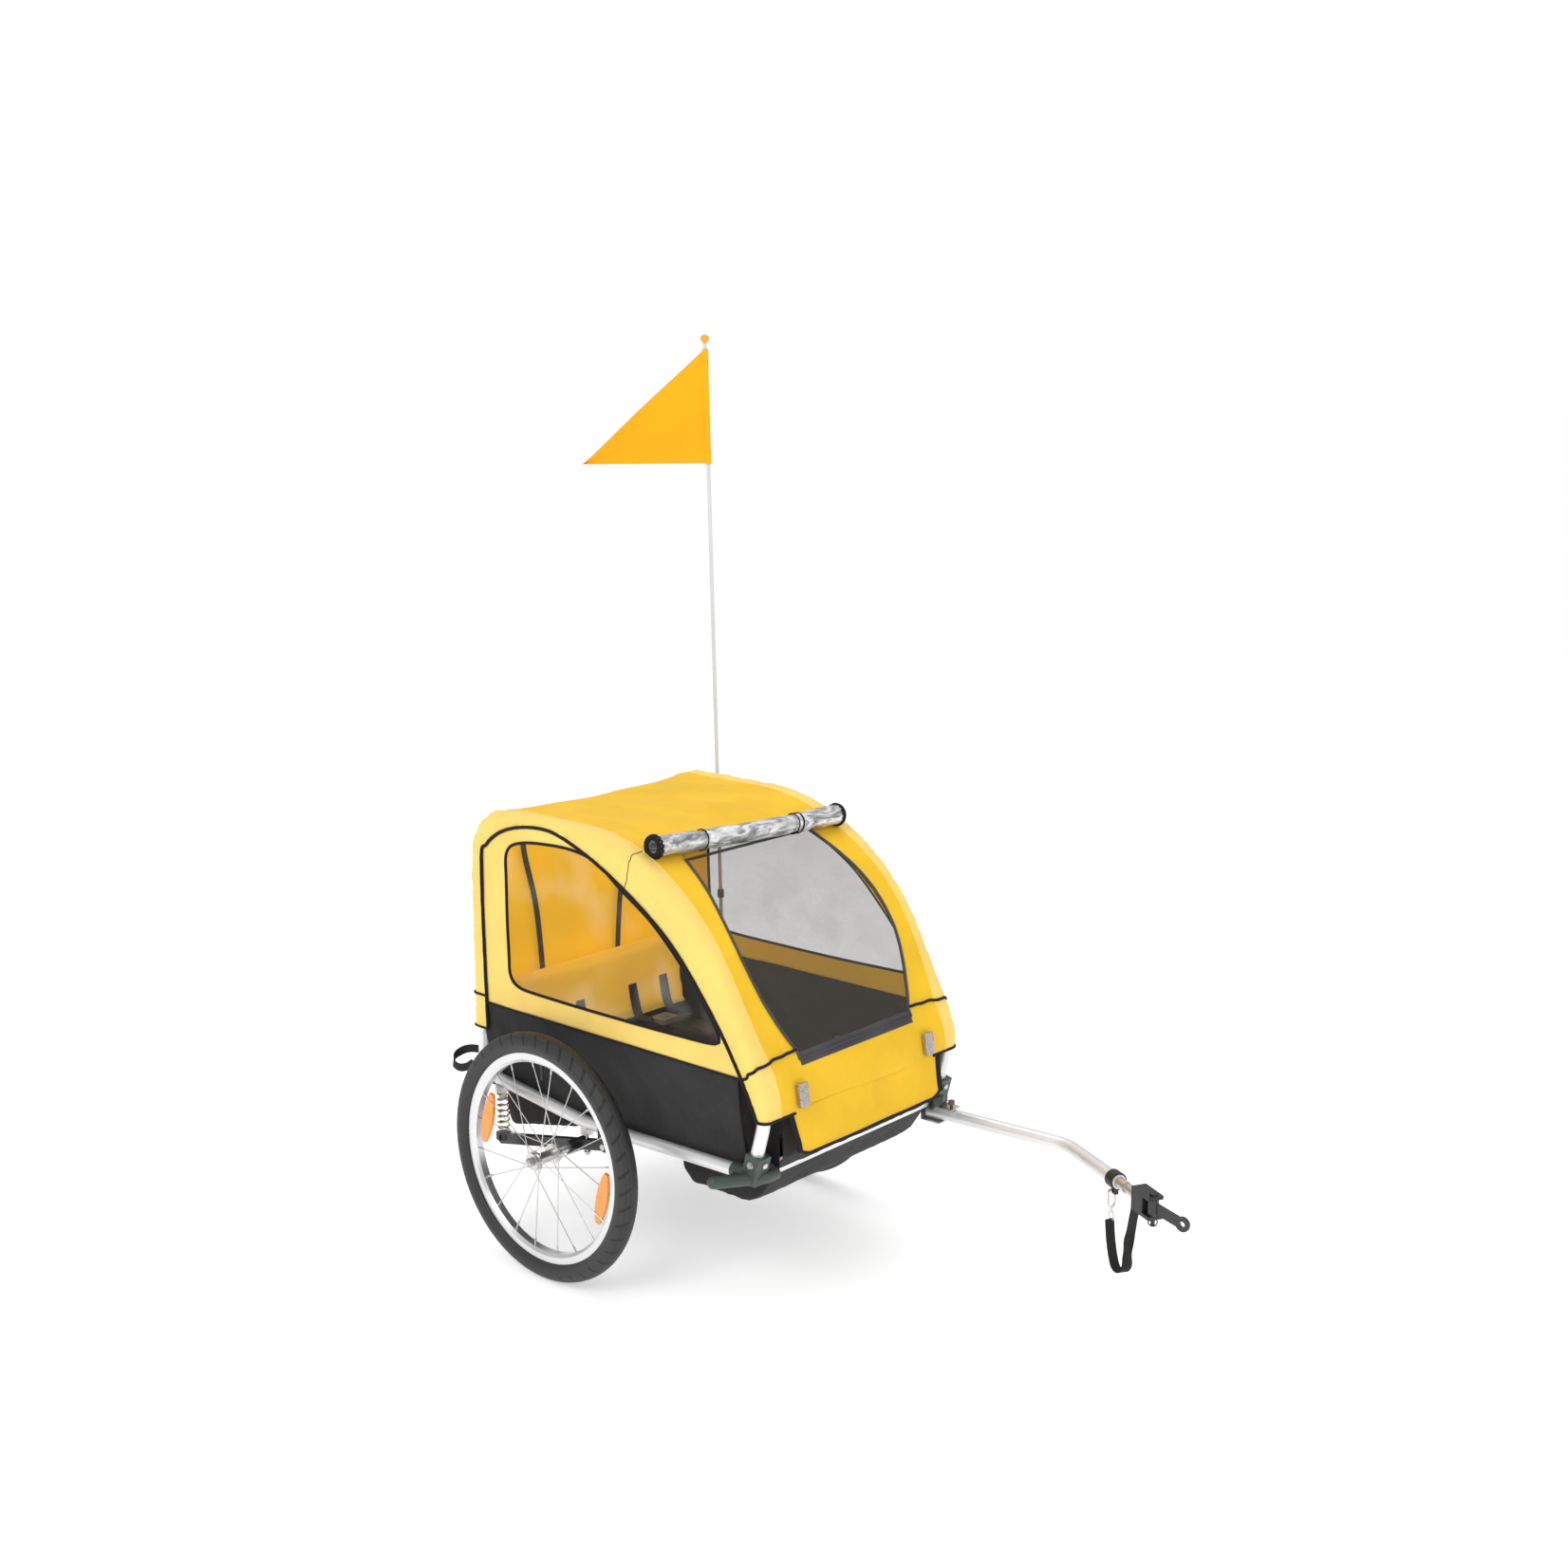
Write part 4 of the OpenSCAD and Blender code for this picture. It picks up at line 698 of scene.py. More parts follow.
def shell_point(u, v):
    i = round(v * SHELL_ALONG)
    c, out, width = SHELL_STATIONS[i]
    col = round(abs(u * 2 - 1) * COLUMNS / 2)
    side = 1 if u > 0.5 else -1
    k = COLUMNS // 2 - col            # 0 at the side's lower edge
    z = c.y
    path = v * 1.95
    corner = math.exp(-((v - 0.66) / 0.1) ** 2)          # cloth gathers most round the rear top bend
    if k <= BAND_COLUMNS:
        if k < 5:
            off = SKIN - width + (width - SKIN) * k / 5
            y = SIDE_Y
            push = Vector((0, 1, 0))
        else:
            a = math.radians(90 * (k - 5) / 5)
            off = SKIN * math.sin(a)
            y = HOOP_Y + (SIDE_Y - HOOP_Y) * math.cos(a)
            push = None
        gather = math.sin(math.pi * min(1, (k + 0.4) / (BAND_COLUMNS + 2))) ** 0.5
        gather *= (0.0016 + 0.0034 * corner) * noise.noise(Vector((path * 34 + 9 * side + k * 0.12, k * 0.1,
                                                                   3.0)))
        gather += 0.0012 * noise.noise(Vector((path * 90, k * 0.15,
                                               7.0 * side))) if 0 < k < BAND_COLUMNS else 0
        off += gather * (1 if push is None else 0.2)
        y += gather if push is not None else gather * 0.5
        q = c + out * off
        return at(q.x, side * y, q.y)
    inner = opening_half(z)
    if k <= BAND_COLUMNS + EDGE_COLUMNS:
        t = (k - BAND_COLUMNS) / EDGE_COLUMNS
        y = HOOP_Y + (inner - HOOP_Y) * t
    else:
        t = (k - BAND_COLUMNS - EDGE_COLUMNS) / (MIDDLE_COLUMNS / 2)
        y = inner * (1 - t)
    sag = 1 - (y / HOOP_Y) ** 2
    off = SKIN - 0.011 * sag * max(0.0, out.y)
    off += 0.0050 * ripple(path * 0.8 + side * y * 0.5, side * y, 0, 0.13, 5.0) * sag
    near = max(0.0, 1 - (HOOP_Y - y) / 0.09)
    off += 0.0030 * near * sag ** 0.5 * noise.noise(Vector((path * 26, side * y * 9, 2.0)))
    q = c + out * off
    return at(q.x, side * y, q.y)


def shell_part(name, wanted, *materials, pick=None):
    """The shell's faces whose centre, in columns from the side edge and height, is wanted."""
    bm = cloth_grid(COLUMNS, SHELL_ALONG, shell_point)
    uv = bm.loops.layers.uv.verify()
    drop = []
    for f in bm.faces:
        u = sum(loop[uv].uv.x for loop in f.loops) / 4
        v = sum(loop[uv].uv.y for loop in f.loops) / 4
        k = COLUMNS / 2 - abs(u * 2 - 1) * COLUMNS / 2
        centre = f.calc_center_median()
        if not wanted(k, v, centre):
            drop.append(f)
        elif pick:
            f.material_index = pick(k, v, centre)
    bmesh.ops.delete(bm, geom=drop, context="FACES")
    return keep(bm, name, *materials)


def in_opening(k, v, p):
    return k > BAND_COLUMNS + EDGE_COLUMNS and OPEN_LOW_Z < p.z < OPEN_TOP_Z and v < 0.6


def on_shell(k, v, p):
    return not in_opening(k, v, p)


def shell_colour(k, v, p):
    if k < BAND_COLUMNS + 2:
        return 1
    if v < 0.6 and OPEN_LOW_Z - 0.022 < p.z <= OPEN_LOW_Z + 0.002 and k > BAND_COLUMNS + EDGE_COLUMNS:
        return 2
    return 0


canopy = shell_part("canopy_shell", on_shell, YELLOW, PALE, GREY_BINDING, PAINTED_GLOW_LINING, PAINTED_GLOW_LINING, GREY_BINDING,
                    pick=shell_colour)
modifier(canopy, "SOLIDIFY", thickness=0.0012, offset=-1, material_offset=3)
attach(canopy, "frame")
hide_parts("canopy_roof")
net = shell_part("front_net", in_opening, NET)
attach(net, "frame")
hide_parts("insect_mesh")


def piping(name, points, radius=0.0028, material=BINDING, closed=False, body="frame"):
    obj = cord_curve(name, points, radius, material, closed)
    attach(obj, body)
    return obj


def shell_line(k, v0, v1, side, lift=0.0):
    """A line on the shell at column k between two stations."""
    out = []
    for i in range(round(v0 * SHELL_ALONG), round(v1 * SHELL_ALONG) + 1, 2):
        v = i / SHELL_ALONG
        u = 0.5 + side * (COLUMNS / 2 - k) / COLUMNS
        out.append(shell_point(u, v) + Vector((SHELL_STATIONS[i][1].x, 0, SHELL_STATIONS[i][1].y)) * lift)
    return out


def shell_across(v0, v1, k1, side, lift=0.0006):
    """A line over the band from its side edge in to column k1, its station going from v0 to v1."""
    out = []
    for k in range(k1 + 1):
        v = v0 + (v1 - v0) * k / k1
        i = round(v * SHELL_ALONG)
        n = Vector((SHELL_STATIONS[i][1].x, 0, SHELL_STATIONS[i][1].y))
        turn = min(1.0, max(0.0, (k - 4) / 6))
        lifted = n * lift * turn + Vector((0, side * lift * (1 - turn), 0))
        out.append(shell_point(0.5 + side * (COLUMNS / 2 - k) / COLUMNS, v) + lifted)
    return smooth_path(out, 4 * k1)


def station_at(z, front=True):
    """The station where the shell's outside is at a height, at the front or at the back."""
    order = range(SHELL_ALONG + 1) if front else range(SHELL_ALONG, -1, -1)
    for i in order:
        if SHELL_STATIONS[i][0].y + SHELL_STATIONS[i][1].y * SKIN >= z:
            return i / SHELL_ALONG


for side in (-1, 1):
    label = "right" if side < 0 else "left"
    edge = shell_line(0, 0, 1, side)
    piping("side_piping_" + label, [p + Vector((0, side * 0.001, 0)) for p in edge], 0.0034)
    seam = shell_line(BAND_COLUMNS + 2, 0, 1, side, 0.0003)
    piping("band_seam_" + label, seam, 0.0012, PALE)
    piping("front_seam_piping_" + label, shell_across(station_at(0.506), station_at(0.524),
                                                      BAND_COLUMNS + EDGE_COLUMNS,
                                                      side), 0.0030)
    piping("rear_seam_piping_" + label, shell_across(station_at(0.505, False), station_at(0.505, False),
                                                     BAND_COLUMNS + 2, side), 0.0026)
    piping("band_join_" + label, shell_across(station_at(0.853), station_at(0.861), BAND_COLUMNS + 2, side,
                                              0.0002),
           0.0009, GREY_BINDING)
    piping("band_hem_front_" + label, shell_across(0.0, 0.0, BAND_COLUMNS + 5, side), 0.0028)
    piping("band_hem_rear_" + label, shell_across(1.0, 1.0, BAND_COLUMNS + EDGE_COLUMNS, side), 0.0022)

# ---------------------------------------------------------------- hanging front flap
FLAP_TOP = SHELL_STATIONS[0][0] + SHELL_STATIONS[0][1] * SKIN


def flap_half(drop):
    """Half width of the flap at a share of its drop, with rounded lower corners."""
    return 0.217 - 0.008 * min(1, drop / 0.7) - (0.024 * ((drop - 0.82) / 0.18) ** 2 if drop > 0.82 else 0)


def flap_point(u, v):
    drop = -0.06 + 1.06 * v
    y = (u - 0.5) * 2 * flap_half(max(0, drop))
    wave = 0.0028 * ripple(y, v * 0.2, 0, 0.09, 2.0) * v
    return at(FLAP_TOP.x + 0.0172 * drop + wave, y, FLAP_TOP.y - 0.078 * drop)


flap = keep(cloth_grid(80, 30, flap_point), "front_flap_cloth", YELLOW, PAINTED_GLOW_LINING)
flap.data.flip_normals()
modifier(flap, "SOLIDIFY", thickness=0.0014, offset=-1, material_offset=1)
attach(flap, "frame")
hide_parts("front_flap")
hem = [flap_point(0, v / 40) for v in range(3, 40)] + [flap_point(u / 60, 1) for u in range(61)]
hem += [flap_point(1, v / 40) for v in range(39, 2, -1)]
piping("flap_hem", hem, 0.0030)
for side in (-1, 1):
    label = "right" if side < 0 else "left"
    way = [flap_point((1 + side) / 2, v / 40) + Vector((0.0005, side * 0.002, 0)) for v in range(3, 36)]
    bound = ribbon("flap_side_binding_" + label, way, 0.011, (0.2, 1, 0), BINDING, thick=0.0036)
    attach(bound, "frame")

rim_points = []
for side, order in ((-1, 1), (1, -1)):
    line = []
    for i in range(round(0.6 * SHELL_ALONG)):
        z = SHELL_STATIONS[i][0].y
        if OPEN_LOW_Z - 0.01 < z + SHELL_STATIONS[i][1].y * SKIN < OPEN_TOP_Z:
            u = 0.5 + side * (MIDDLE_COLUMNS / 2) / COLUMNS
            line.append(shell_point(u, i / SHELL_ALONG))
    rim_points += line[::order]
piping("front_net_binding", rim_points, 0.0032, GREY_BINDING, closed=True)

# ---------------------------------------------------------------- side panels and windows
WINDOW = [(-0.168, 0.60), (-0.171, 0.76), (-0.165, 0.815), (-0.13, 0.836), (-0.06, 0.845), (0.02, 0.846),
          (0.085, 0.832), (0.15, 0.792), (0.24, 0.735), (0.32, 0.66), (0.375, 0.595), (0.398, 0.558),
          (0.385, 0.545),
          (0.3, 0.541), (0.1, 0.538), (-0.09, 0.539), (-0.145, 0.545), (-0.165, 0.565)]


def closed_way(points, steps):
    pts = [Vector((x, 0, z)) for x, z in points]
    way = smooth_path(pts[-2:] + pts + pts[:3], 900)
    start = min(range(200), key=lambda i: (way[i] - pts[0]).length)
    end = min(range(700, 901), key=lambda i: (way[i] - pts[0]).length)
    return even(way[start:end + 1], steps)


WINDOW_WAY = closed_way(WINDOW, 240)
MIDDLE = Vector((0.06, 0, 0.69))
PANEL_EDGE = [p for p in PIPING_WAY if p.z > SEAM_Z - 0.002]
PANEL_EDGE = [PANEL_EDGE[0] + Vector((0.004, 0, 0))] + PANEL_EDGE
first, last = Vector((PANEL_EDGE[0].x, 0, SEAM_Z)), Vector((PANEL_EDGE[-1].x, 0, SEAM_Z))
PANEL_LOOP = PANEL_EDGE + [last.lerp(first, k / 60) for k in range(61)]


def reach(loop, angle):
    """Where a ray from the panel's middle meets a closed loop."""
    d = Vector((math.cos(angle), math.sin(angle)))
    best = None
    for a, b in zip(loop, loop[1:] + loop[:1]):
        p, s = Vector((a.x - MIDDLE.x, a.z - MIDDLE.z)), Vector((b.x - a.x, b.z - a.z))
        cross = d.x * s.y - d.y * s.x
        if abs(cross) < 1e-12:
            continue
        t, u = (p.x * s.y - p.y * s.x) / cross, (p.x * d.y - p.y * d.x) / cross
        if t > 0 and -0.001 <= u <= 1.001 and (best is None or t > best):
            best = t
    return best or 0.1


ROUND = 288
OUTER = [reach(PANEL_LOOP, 2 * math.pi * k / ROUND) for k in range(ROUND)]
INNER = [min(reach(WINDOW_WAY, 2 * math.pi * k / ROUND), OUTER[k] - 0.0015) for k in range(ROUND)]


def panel_y(x, z, side):
    swell = 0.0014 * ripple(x, z, side, 0.1, 4.0)
    return side * (SIDE_Y - 0.0012 + swell)


def face_out(bm, side):
    """Turns a side sheet's faces away from the cabin."""
    bm.normal_update()
    if sum(f.normal.y for f in bm.faces) * side < 0:
        bmesh.ops.reverse_faces(bm, faces=bm.faces)


def rail_height(x):
    return 0.335 - 0.1186 * (x + 0.27) if x < 0.025 else 0.3 + 0.0231 * (x - 0.025)


for side in (-1, 1):
    label = "right" if side < 0 else "left"

    def ring_point(u, v):
        k = round(v * ROUND) % ROUND
        r = INNER[k] + (OUTER[k] - INNER[k]) * u
        a = 2 * math.pi * k / ROUND
        x, z = MIDDLE.x + r * math.cos(a), MIDDLE.z + r * math.sin(a)
        return at(x, panel_y(x, z, side), z)

    bm = cloth_grid(8, ROUND, ring_point)
    bmesh.ops.remove_doubles(bm, verts=bm.verts, dist=1e-5)
    face_out(bm, side)
    panel = keep(bm, "side_panel_" + label, PALE, PAINTED_GLOW_LINING)
    modifier(panel, "SOLIDIFY", thickness=0.001, offset=-1, material_offset=1)
    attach(panel, "frame")
    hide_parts("canopy_side_" + label)

    def film_point(u, v):
        k = round(v * ROUND) % ROUND
        r = INNER[k] * u
        a = 2 * math.pi * k / ROUND
        x, z = MIDDLE.x + r * math.cos(a), MIDDLE.z + r * math.sin(a)
        return at(x, panel_y(x, z, side) - side * 0.004 * (1 - u * u), z)

    bm = cloth_grid(12, ROUND, film_point)
    bmesh.ops.remove_doubles(bm, verts=bm.verts, dist=1e-5)
    film = keep(bm, "side_window_" + label, FILM)
    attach(film, "frame")
    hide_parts("side_windows")
    rim_way = []
    for k in range(ROUND):
        a = 2 * math.pi * k / ROUND
        x, z = MIDDLE.x + INNER[k] * math.cos(a), MIDDLE.z + INNER[k] * math.sin(a)
        rim_way.append(at(x, panel_y(x, z, side) + side * 0.0006, z))
    piping("window_binding_" + label, rim_way, 0.003, closed=True)

    def lower_point(u, v):
        x = -0.254 + v * 0.696
        top, low = SEAM_Z + 0.0015, rail_height(x) - 0.012
        z = top + (low - top) * u
        full = math.sin(math.pi * u) * math.sin(math.pi * v) ** 0.5
        crease = 0.0055 * ripple(x * 0.7 + z * 0.6, z * 0.35, side, 0.03, 1.0) * full
        crease += 0.004 * ripple(x * 0.3, z, side, 0.06, 8.0) * full
        return at(x, side * min(SIDE_Y - 0.002 - 0.034 * u ** 1.7 + crease, SIDE_Y), z)

    lower = keep(cloth_grid(36, 150, lower_point), "lower_side_" + label, BLACK_CLOTH)
    modifier(lower, "SOLIDIFY", thickness=0.0012, offset=0)
    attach(lower, "frame")
    seam_way = [at(-0.24 + 0.695 * k / 80, side * (SIDE_Y - 0.0002), SEAM_Z) for k in range(81)]
    piping("seam_piping_" + label, seam_way, 0.0022)

# ---------------------------------------------------------------- tub


def soft_box(name, corners, radius, material, seed, depth=0.0035):
    """A cloth-covered box from eight corners, with rounded edges and slack cloth."""
    bm = bmesh.new()
    bmesh.ops.create_cube(bm, size=1)
    for v in bm.verts:
        key = (v.co.x > 0, v.co.y > 0, v.co.z > 0)
        v.co = corners(*key)
    bmesh.ops.bevel(bm, geom=bm.edges[:] + bm.verts[:], offset=radius, segments=4, profile=0.5,
                    affect="EDGES", material=-1)
    bmesh.ops.subdivide_edges(bm, edges=[e for e in bm.edges if e.calc_length() > 0.05], cuts=14,
                              use_grid_fill=True)
    bm.normal_update()
    for v in bm.verts:
        v.co -= v.normal * depth * (0.5 + 0.5 * ripple(*v.co, 0.06, seed))
    return keep(bm, name, material)


def floor_corner(front, left, top):
    y = 0.257 if left else -0.257
    return at(0.43 if front else -0.242, y, 0.34 if top else 0.291)


floor_pad = soft_box("tub_floor", floor_corner, 0.012, TUB_CLOTH, 1.0, 0.002)
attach(floor_pad, "frame")
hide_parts("floor_tub")


def tray(name, profile, half, shoulder, material):
    """A cloth tray: a profile across the width whose two ends are closed by walls up to shoulder height."""
    steps = 140
    way = even([Vector((x, 0, z)) for x, z in rounded_pairs(profile)], steps)
    columns, walls = 64, 8

    def place(u, v):
        p = way[round(v * steps)]
        c = round(u * columns)
        side = -1 if c < columns / 2 else 1
        k = min(c, columns - c)
        top = max(shoulder, p.z)
        if k < walls:
            z = top + (p.z - top) * k / walls
            y = side * half
        else:
            y = (u - 0.5) * 2 * half * columns / (columns - 2 * walls)
            z = p.z
        edge = max(0.0, 1 - abs(k - walls) / 3)
        slack = 0.0035 * ripple(p.x, y, z, 0.05, 2.0) + 0.0015 * ripple(p.x, y, z, 0.02, 6.0)
        return at(p.x, y * (1 - 0.012 * edge) - side * abs(slack) * 0.4, z + 0.003 * edge + abs(slack))

    bm = cloth_grid(columns, steps, place)
    bmesh.ops.remove_doubles(bm, verts=bm.verts, dist=2e-5)
    obj = keep(bm, name, material)
    modifier(obj, "SOLIDIFY", thickness=0.0015, offset=0)
    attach(obj, "frame")
    return obj


def rounded_pairs(points, bend=0.014):
    """Corners of a profile turned into short bends."""
    line = rounded([Vector((x, z, 0)) for x, z in points], [bend] * (len(points) - 2))
    return [(p.x, p.y) for p in line]


tray("tub_footwell", [(0.4925, 0.435), (0.497, 0.336), (0.440, 0.247), (0.412, 0.2265), (0.268, 0.2265),
                      (0.246, 0.25), (0.236, 0.312)], 0.2285, 0.312, TUB_CLOTH)
tray("luggage_sling", [(-0.022, 0.312), (-0.031, 0.263), (-0.231, 0.2185), (-0.2415, 0.24),
                       (-0.2415, 0.312)], 0.239,
     0.312, TUB_CLOTH)
for side in (-1, 1):
    def corner_point(u, v):
        z = 0.302 + v * (SEAM_Z - 0.302)
        outer = SIDE_Y - 0.003 - 0.034 * (1 - v) ** 1.7
        way = [Vector((0.4405, outer, 0)), Vector((0.4475, 0.2585, 0)), Vector((0.4515, 0.235, 0)),
               Vector((0.489, 0.2285, 0))]
        t = u * 3
        k = min(2, int(t))
        p = way[k].lerp(way[k + 1], t - k)
        return at(p.x + 0.001 * ripple(u, v, side, 0.2), side * p.y, z)

    closing = keep(cloth_grid(12, 12, corner_point),
                   "tub_front_corner_" + ("right" if side < 0 else "left"), TUB_CLOTH)
    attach(closing, "frame")


def rear_wall_point(u, v):
    y = (u - 0.5) * 2 * 0.262
    z = 0.30 + v * 0.19
    return at(-0.246 + 0.002 * ripple(y, z, 0, 0.07), y, z)


rear_wall = keep(cloth_grid(40, 20, rear_wall_point), "tub_rear_wall", TUB_CLOTH)
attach(rear_wall, "frame")

# bound seams on the inside of the back, and the mesh strip under them
for side in (-1, 1):
    way = smooth_path([at(-0.268, side * 0.158, 0.80), at(-0.271, side * 0.150, 0.76),
                       at(-0.2725, side * 0.124, 0.66),
                       at(-0.2725, side * 0.113, 0.57), at(-0.2725, side * 0.108, 0.5)], 60)
    seam = ribbon("back_seam_" + ("right" if side < 0 else "left"), way, 0.013, (0, 1, 0), GREY_BINDING)
    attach(seam, "frame")

# ---------------------------------------------------------------- seat
def pad(name, low, high, shape, material, node):
    """A stuffed pad: remeshed, blown up a little, capped, then smoothed."""
    bm = bmesh.new()
    bmesh.ops.create_cube(bm, size=1)
    bmesh.ops.subdivide_edges(bm, edges=bm.edges[:], cuts=20, use_grid_fill=True)
    for v in bm.verts:
        s = v.co + Vector((0.5, 0.5, 0.5))
        p = Vector([low[i] + (high[i] - low[i]) * s[i] for i in range(3)])
        v.co = at(*shape(p))
    obj = keep(bm, name, material)
    start = None
    remesh = modifier(obj, "REMESH", mode="VOXEL", voxel_size=0.006)
    deps = bpy.context.evaluated_depsgraph_get()
    mesh = bpy.data.meshes.new_from_object(obj.evaluated_get(deps))
    obj.modifiers.remove(remesh)
    obj.data = mesh
    start = [v.co.copy() for v in mesh.vertices]
    c = obj.modifiers.new("cloth", "CLOTH")
    c.settings.use_pressure = True
    c.settings.uniform_pressure_force = 4
    c.settings.effector_weights.gravity = 0
    c.settings.quality = 4
    c.point_cache.frame_start, c.point_cache.frame_end = 1, 20
    for f in range(1, 21):
        bpy.context.scene.frame_set(f)
    deps = bpy.context.evaluated_depsgraph_get()
    puffed = bpy.data.meshes.new_from_object(obj.evaluated_get(deps))
    obj.modifiers.remove(c)
    for v, a in zip(puffed.vertices, start):
        move = v.co - a
        if move.length > 0.008:
            move *= 0.008 / move.length
        v.co = a + move
    obj.data = puffed
    bpy.context.scene.frame_set(1)
    obj.data.materials.clear()
    obj.data.materials.append(material)
    obj.data.shade_smooth()
    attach(obj, "frame")
    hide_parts(node)
    modifier(obj, "SUBSURF", levels=1, render_levels=1)
    return obj


def base_shape(p):
    rise = 0.012 * (p.x + 0.205) / 0.317
    return (p.x, p.y, p.z + rise)


def back_shape(p):
    return (p.x - (p.z - 0.356) * 0.14, p.y, p.z)


pad("seat_base_pad", (-0.195, -0.24, 0.325), (0.10, 0.24, 0.341), base_shape, SEAT_CLOTH,
    "seat_base")
pad("seat_back_pad", (-0.201, -0.24, 0.372), (-0.19, 0.24, 0.545), back_shape, SEAT_BACK_PAINTED_GLOW_CLOTH,
    "seat_back")

strip = ribbon("seat_back_mesh_strip", [at(-0.2075, -0.14 + 0.27 * k / 60, 0.509 - 0.014 * k / 60)
                                        for k in range(61)],
               0.024, (0, 0, 1), NET, thick=0.001)
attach(strip, "frame")

first = True
for s in (-0.122, 0.122):
    for k in (-0.046, 0.046):
        way = smooth_path([at(-0.1985, s + k, 0.462), at(-0.193, s + k, 0.44), at(-0.181, s + k, 0.395),
                           at(-0.168, s + k, 0.384), at(-0.15, s + k * 0.7, 0.381)], 40)
        r = ribbon(f"shoulder_strap_{'left' if s > 0 else 'right'}_{'outer' if k * s > 0 else 'inner'}",
                   way, 0.024,
                   (0, 1, 0), WEBBING)
        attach(r, "frame")
        if first:
            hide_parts("harness_straps")
            first = False
    way = smooth_path([at(-0.146, s - 0.084, 0.366), at(-0.146, s - 0.04, 0.3695), at(-0.146, s, 0.37),
                       at(-0.146, s + 0.04, 0.3695), at(-0.146, s + 0.084, 0.366)], 30)
    r = ribbon("waist_strap_" + ("left" if s > 0 else "right"), way, 0.024, (1, 0, 0), WEBBING)
    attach(r, "frame")
    way = smooth_path([at(-0.12, s, 0.3695), at(-0.07, s, 0.3665), at(-0.01, s, 0.3662)], 24)
    r = ribbon("crotch_strap_" + ("left" if s > 0 else "right"), way, 0.024, (0, 1, 0), WEBBING)
    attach(r, "frame")

# ---------------------------------------------------------------- rolled rain cover
ROLL_LOW, ROLL_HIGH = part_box("rain_cover_roll")
ROLL_HALF = 0.25
ROLL_MIDDLE = Vector(((ROLL_LOW[0] + ROLL_HIGH[0]) / 2, 0, (ROLL_LOW[2] + ROLL_HIGH[2]) / 2))
ROLL_ALONG = Vector((0.033, 0.502, -0.0155)).normalized()
ROLL_OUT = Vector((0, 0, 1)).cross(ROLL_ALONG).normalized() * -1
ROLL_UP = ROLL_ALONG.cross(ROLL_OUT) * -1


def on_roll(along, angle, radius, squash=1.0):
    """A point round the rolled sheet: along from its middle to the left."""
    sag = -0.004 * (1 - (along / ROLL_HALF) ** 2)
    return (ROLL_MIDDLE + ROLL_ALONG * along + ROLL_OUT * radius * math.cos(angle)
            + ROLL_UP * (radius * math.sin(angle) * squash + sag))


def turn(t):
    return t * 3.25 * 2 * math.pi + 2.3


def roll_radius(t):
    return 0.0125 + 0.0092 * t


def roll_point(u, v):
    along = (u - 0.5) * 2 * ROLL_HALF
    tied = 1 - 0.14 * sum(math.exp(-((along - y) / 0.012) ** 2) for y in (-0.127, 0.118))
    r = roll_radius(v) * tied + 0.0016 * noise.noise(Vector((u * 14, v * 16, 0)))
    flare = 1 + 0.06 * abs(along / ROLL_HALF) ** 8
    return on_roll(along, turn(v), r * flare, 0.94)


roll = keep(cloth_grid(150, 180, roll_point), "rolled_rain_cover", ROLL_FILM)
modifier(roll, "SOLIDIFY", thickness=0.0006, offset=0)
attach(roll, "frame")
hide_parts("rain_cover_roll")
for side in (-1, 1):
    label = "right" if side < 0 else "left"
    end = [on_roll(side * (ROLL_HALF - 0.001), turn(k / 110), roll_radius(k / 110) * 1.05, 0.94)
           for k in range(111)]
    piping("roll_end_binding_" + label, end, 0.0019)
    edge = [on_roll(side * (ROLL_HALF - 0.004 - 0.004 * (k % 2)), math.pi * k / 15, 0.0222, 0.95)
            for k in range(30)]
    piping("roll_hem_" + label, edge, 0.0030, closed=True)
for y, label in ((-0.127, "right"), (0.118, "left"), (0.131, "left_second")):
    tie = [on_roll(y + 0.0025 * math.sin(a), a, 0.0209, 0.95)
           for a in [2 * math.pi * k / 44 for k in range(44)]]
    piping("roll_tie_" + label, tie, 0.0014, closed=True)

# ---------------------------------------------------------------- flag
LEAN = math.tan(math.radians(1.7))
POLE_Y = 0.2946


def pole_x(z):
    return -0.131 - (z - 0.33) * LEAN


def flag_point(u, v):
    z_hoist = 1.545 + v * 0.232
    x0 = pole_x(z_hoist) - 0.005
    tip = Vector((-0.552, 0, 1.532))
    x = x0 + (tip.x - x0) * u
    z = z_hoist + (tip.z - z_hoist) * u
    sway = 0.0035 * math.sin(u * 7 + v * 2) * u + 0.002 * math.sin(v * 9 + u * 4) * u
    return at(x, POLE_Y + sway, z)


flag = keep(cloth_grid(60, 40, flag_point), "pennant", FLAG_CLOTH)
modifier(flag, "SOLIDIFY", thickness=0.0007, offset=0)
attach(flag, "flag_mast")
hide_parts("flag")


def sleeve_point(u, v):
    z = 1.543 + v * 0.236
    a = u * 2 * math.pi
    r = 0.0062 + 0.0006 * ripple(u * 3, v * 14, 0, 1.0)
    return at(pole_x(z) - 0.0005 + r * math.cos(a), POLE_Y + r * math.sin(a), z)


sleeve = keep(cloth_grid(16, 60, sleeve_point), "pennant_sleeve", FLAG_CLOTH)
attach(sleeve, "flag_mast")

# ---------------------------------------------------------------- rear webbing loop
_, REAR_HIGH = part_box("rear_loop")


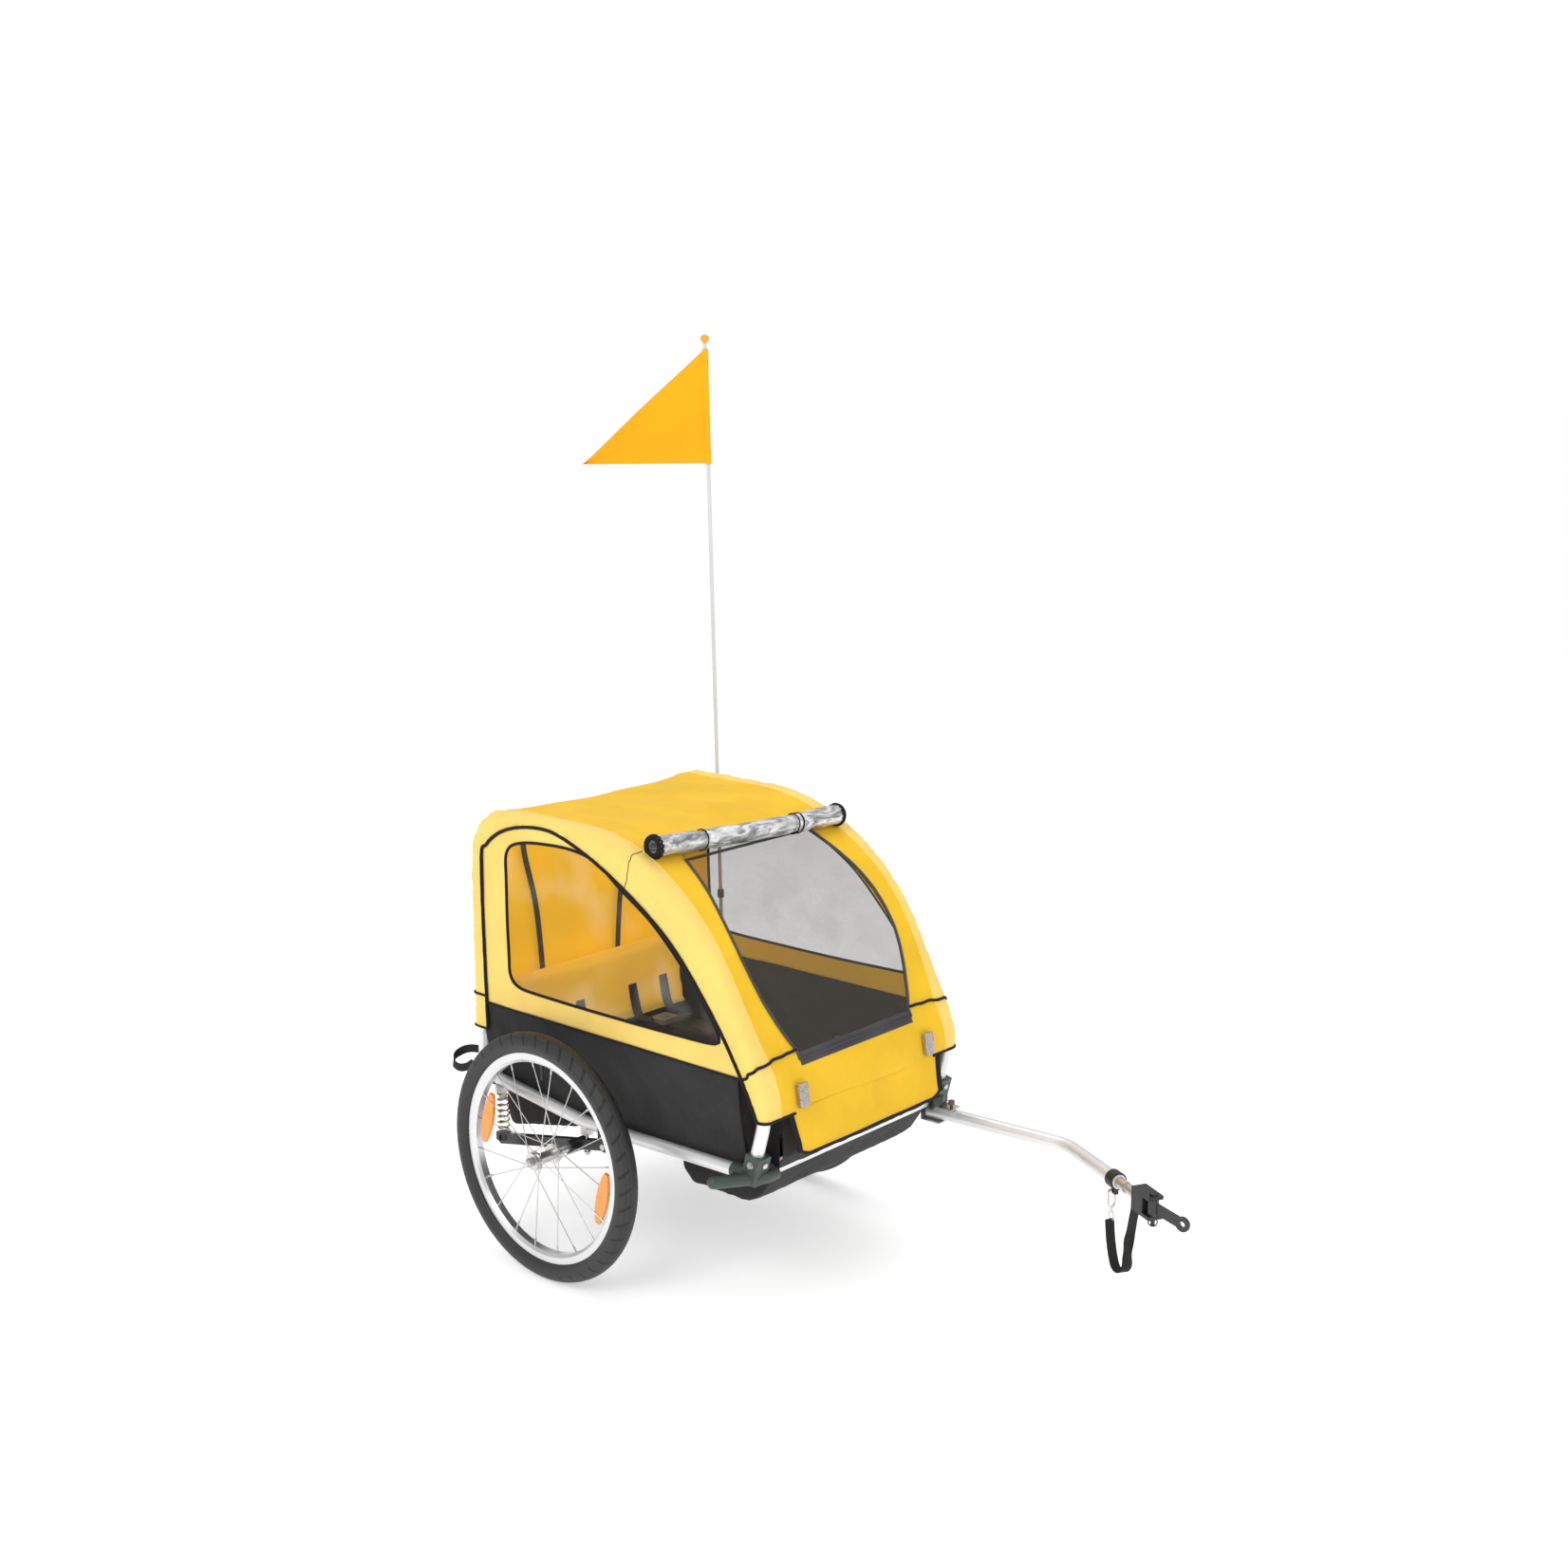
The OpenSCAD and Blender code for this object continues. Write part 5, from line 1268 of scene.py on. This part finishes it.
def loop_way():
    x0, z0 = REAR_HIGH[0] - 0.004, REAR_HIGH[2] - 0.013
    pts = [(0, 0.0135, 0.006), (-0.02, 0.0145, 0.004), (-0.045, 0.0145, -0.001), (-0.064, 0.011, -0.009),
           (-0.0725, 0, -0.019), (-0.066, -0.011, -0.030), (-0.045, -0.0146, -0.034),
           (-0.02, -0.0146, -0.027),
           (0, -0.0135, -0.014)]
    return smooth_path([Vector((x0 + x, -HOOP_Y + y, z0 + z)) for x, y, z in pts], 70)


loop = ribbon("rear_webbing_loop", loop_way(), 0.0165, (0.2, 0, 1), WEBBING)
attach(loop, "frame")
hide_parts("rear_loop")


# ---------------------------------------------------------------- floor and lights
bm = bmesh.new()
bmesh.ops.create_grid(bm, x_segments=1, y_segments=1, size=90)
floor_mat, _, _, floor_shader = finish("pale floor", (0.95, 0.95, 0.95), 0.8, Specular_IOR_Level=0.1)
floor_shader.inputs["Emission Color"].default_value = (1, 1, 1, 1)
floor_shader.inputs["Emission Strength"].default_value = 0.42
ground = keep(bm, "studio_floor", floor_mat, smooth=False)
ground.location.z = -0.0005

world = bpy.data.worlds.new("studio")
bpy.context.scene.world = world
world.use_nodes = True
sky, wl = world.node_tree.nodes, world.node_tree.links
sky["Background"].inputs[0].default_value = (1, 1, 1, 1)
ray = sky.new("ShaderNodeLightPath")
level = sky.new("ShaderNodeMapRange")
level.inputs["To Min"].default_value = 0.62
level.inputs["To Max"].default_value = 1.02
wl.new(ray.outputs["Is Camera Ray"], level.inputs["Value"])
wl.new(level.outputs[0], sky["Background"].inputs[1])


def lamp(name, place, target, size, power):
    data = bpy.data.lights.new(name, "AREA")
    data.size = size
    data.energy = power
    obj = bpy.data.objects.new(name, data)
    obj.location = place
    obj.rotation_euler = (Vector(target) - Vector(place)).to_track_quat("-Z", "Y").to_euler()
    bpy.context.scene.collection.objects.link(obj)


lamp("key_light", (0.6, -3.4, 3.0), (0, 0, 0.5), 2.2, 62)
lamp("front_light", (3.4, 0.6, 2.6), (0, 0, 0.5), 2.0, 22)
lamp("top_light", (-0.6, 0.8, 3.6), (0, 0, 0.4), 2.5, 30)
bpy.context.scene.view_settings.view_transform = "Standard"
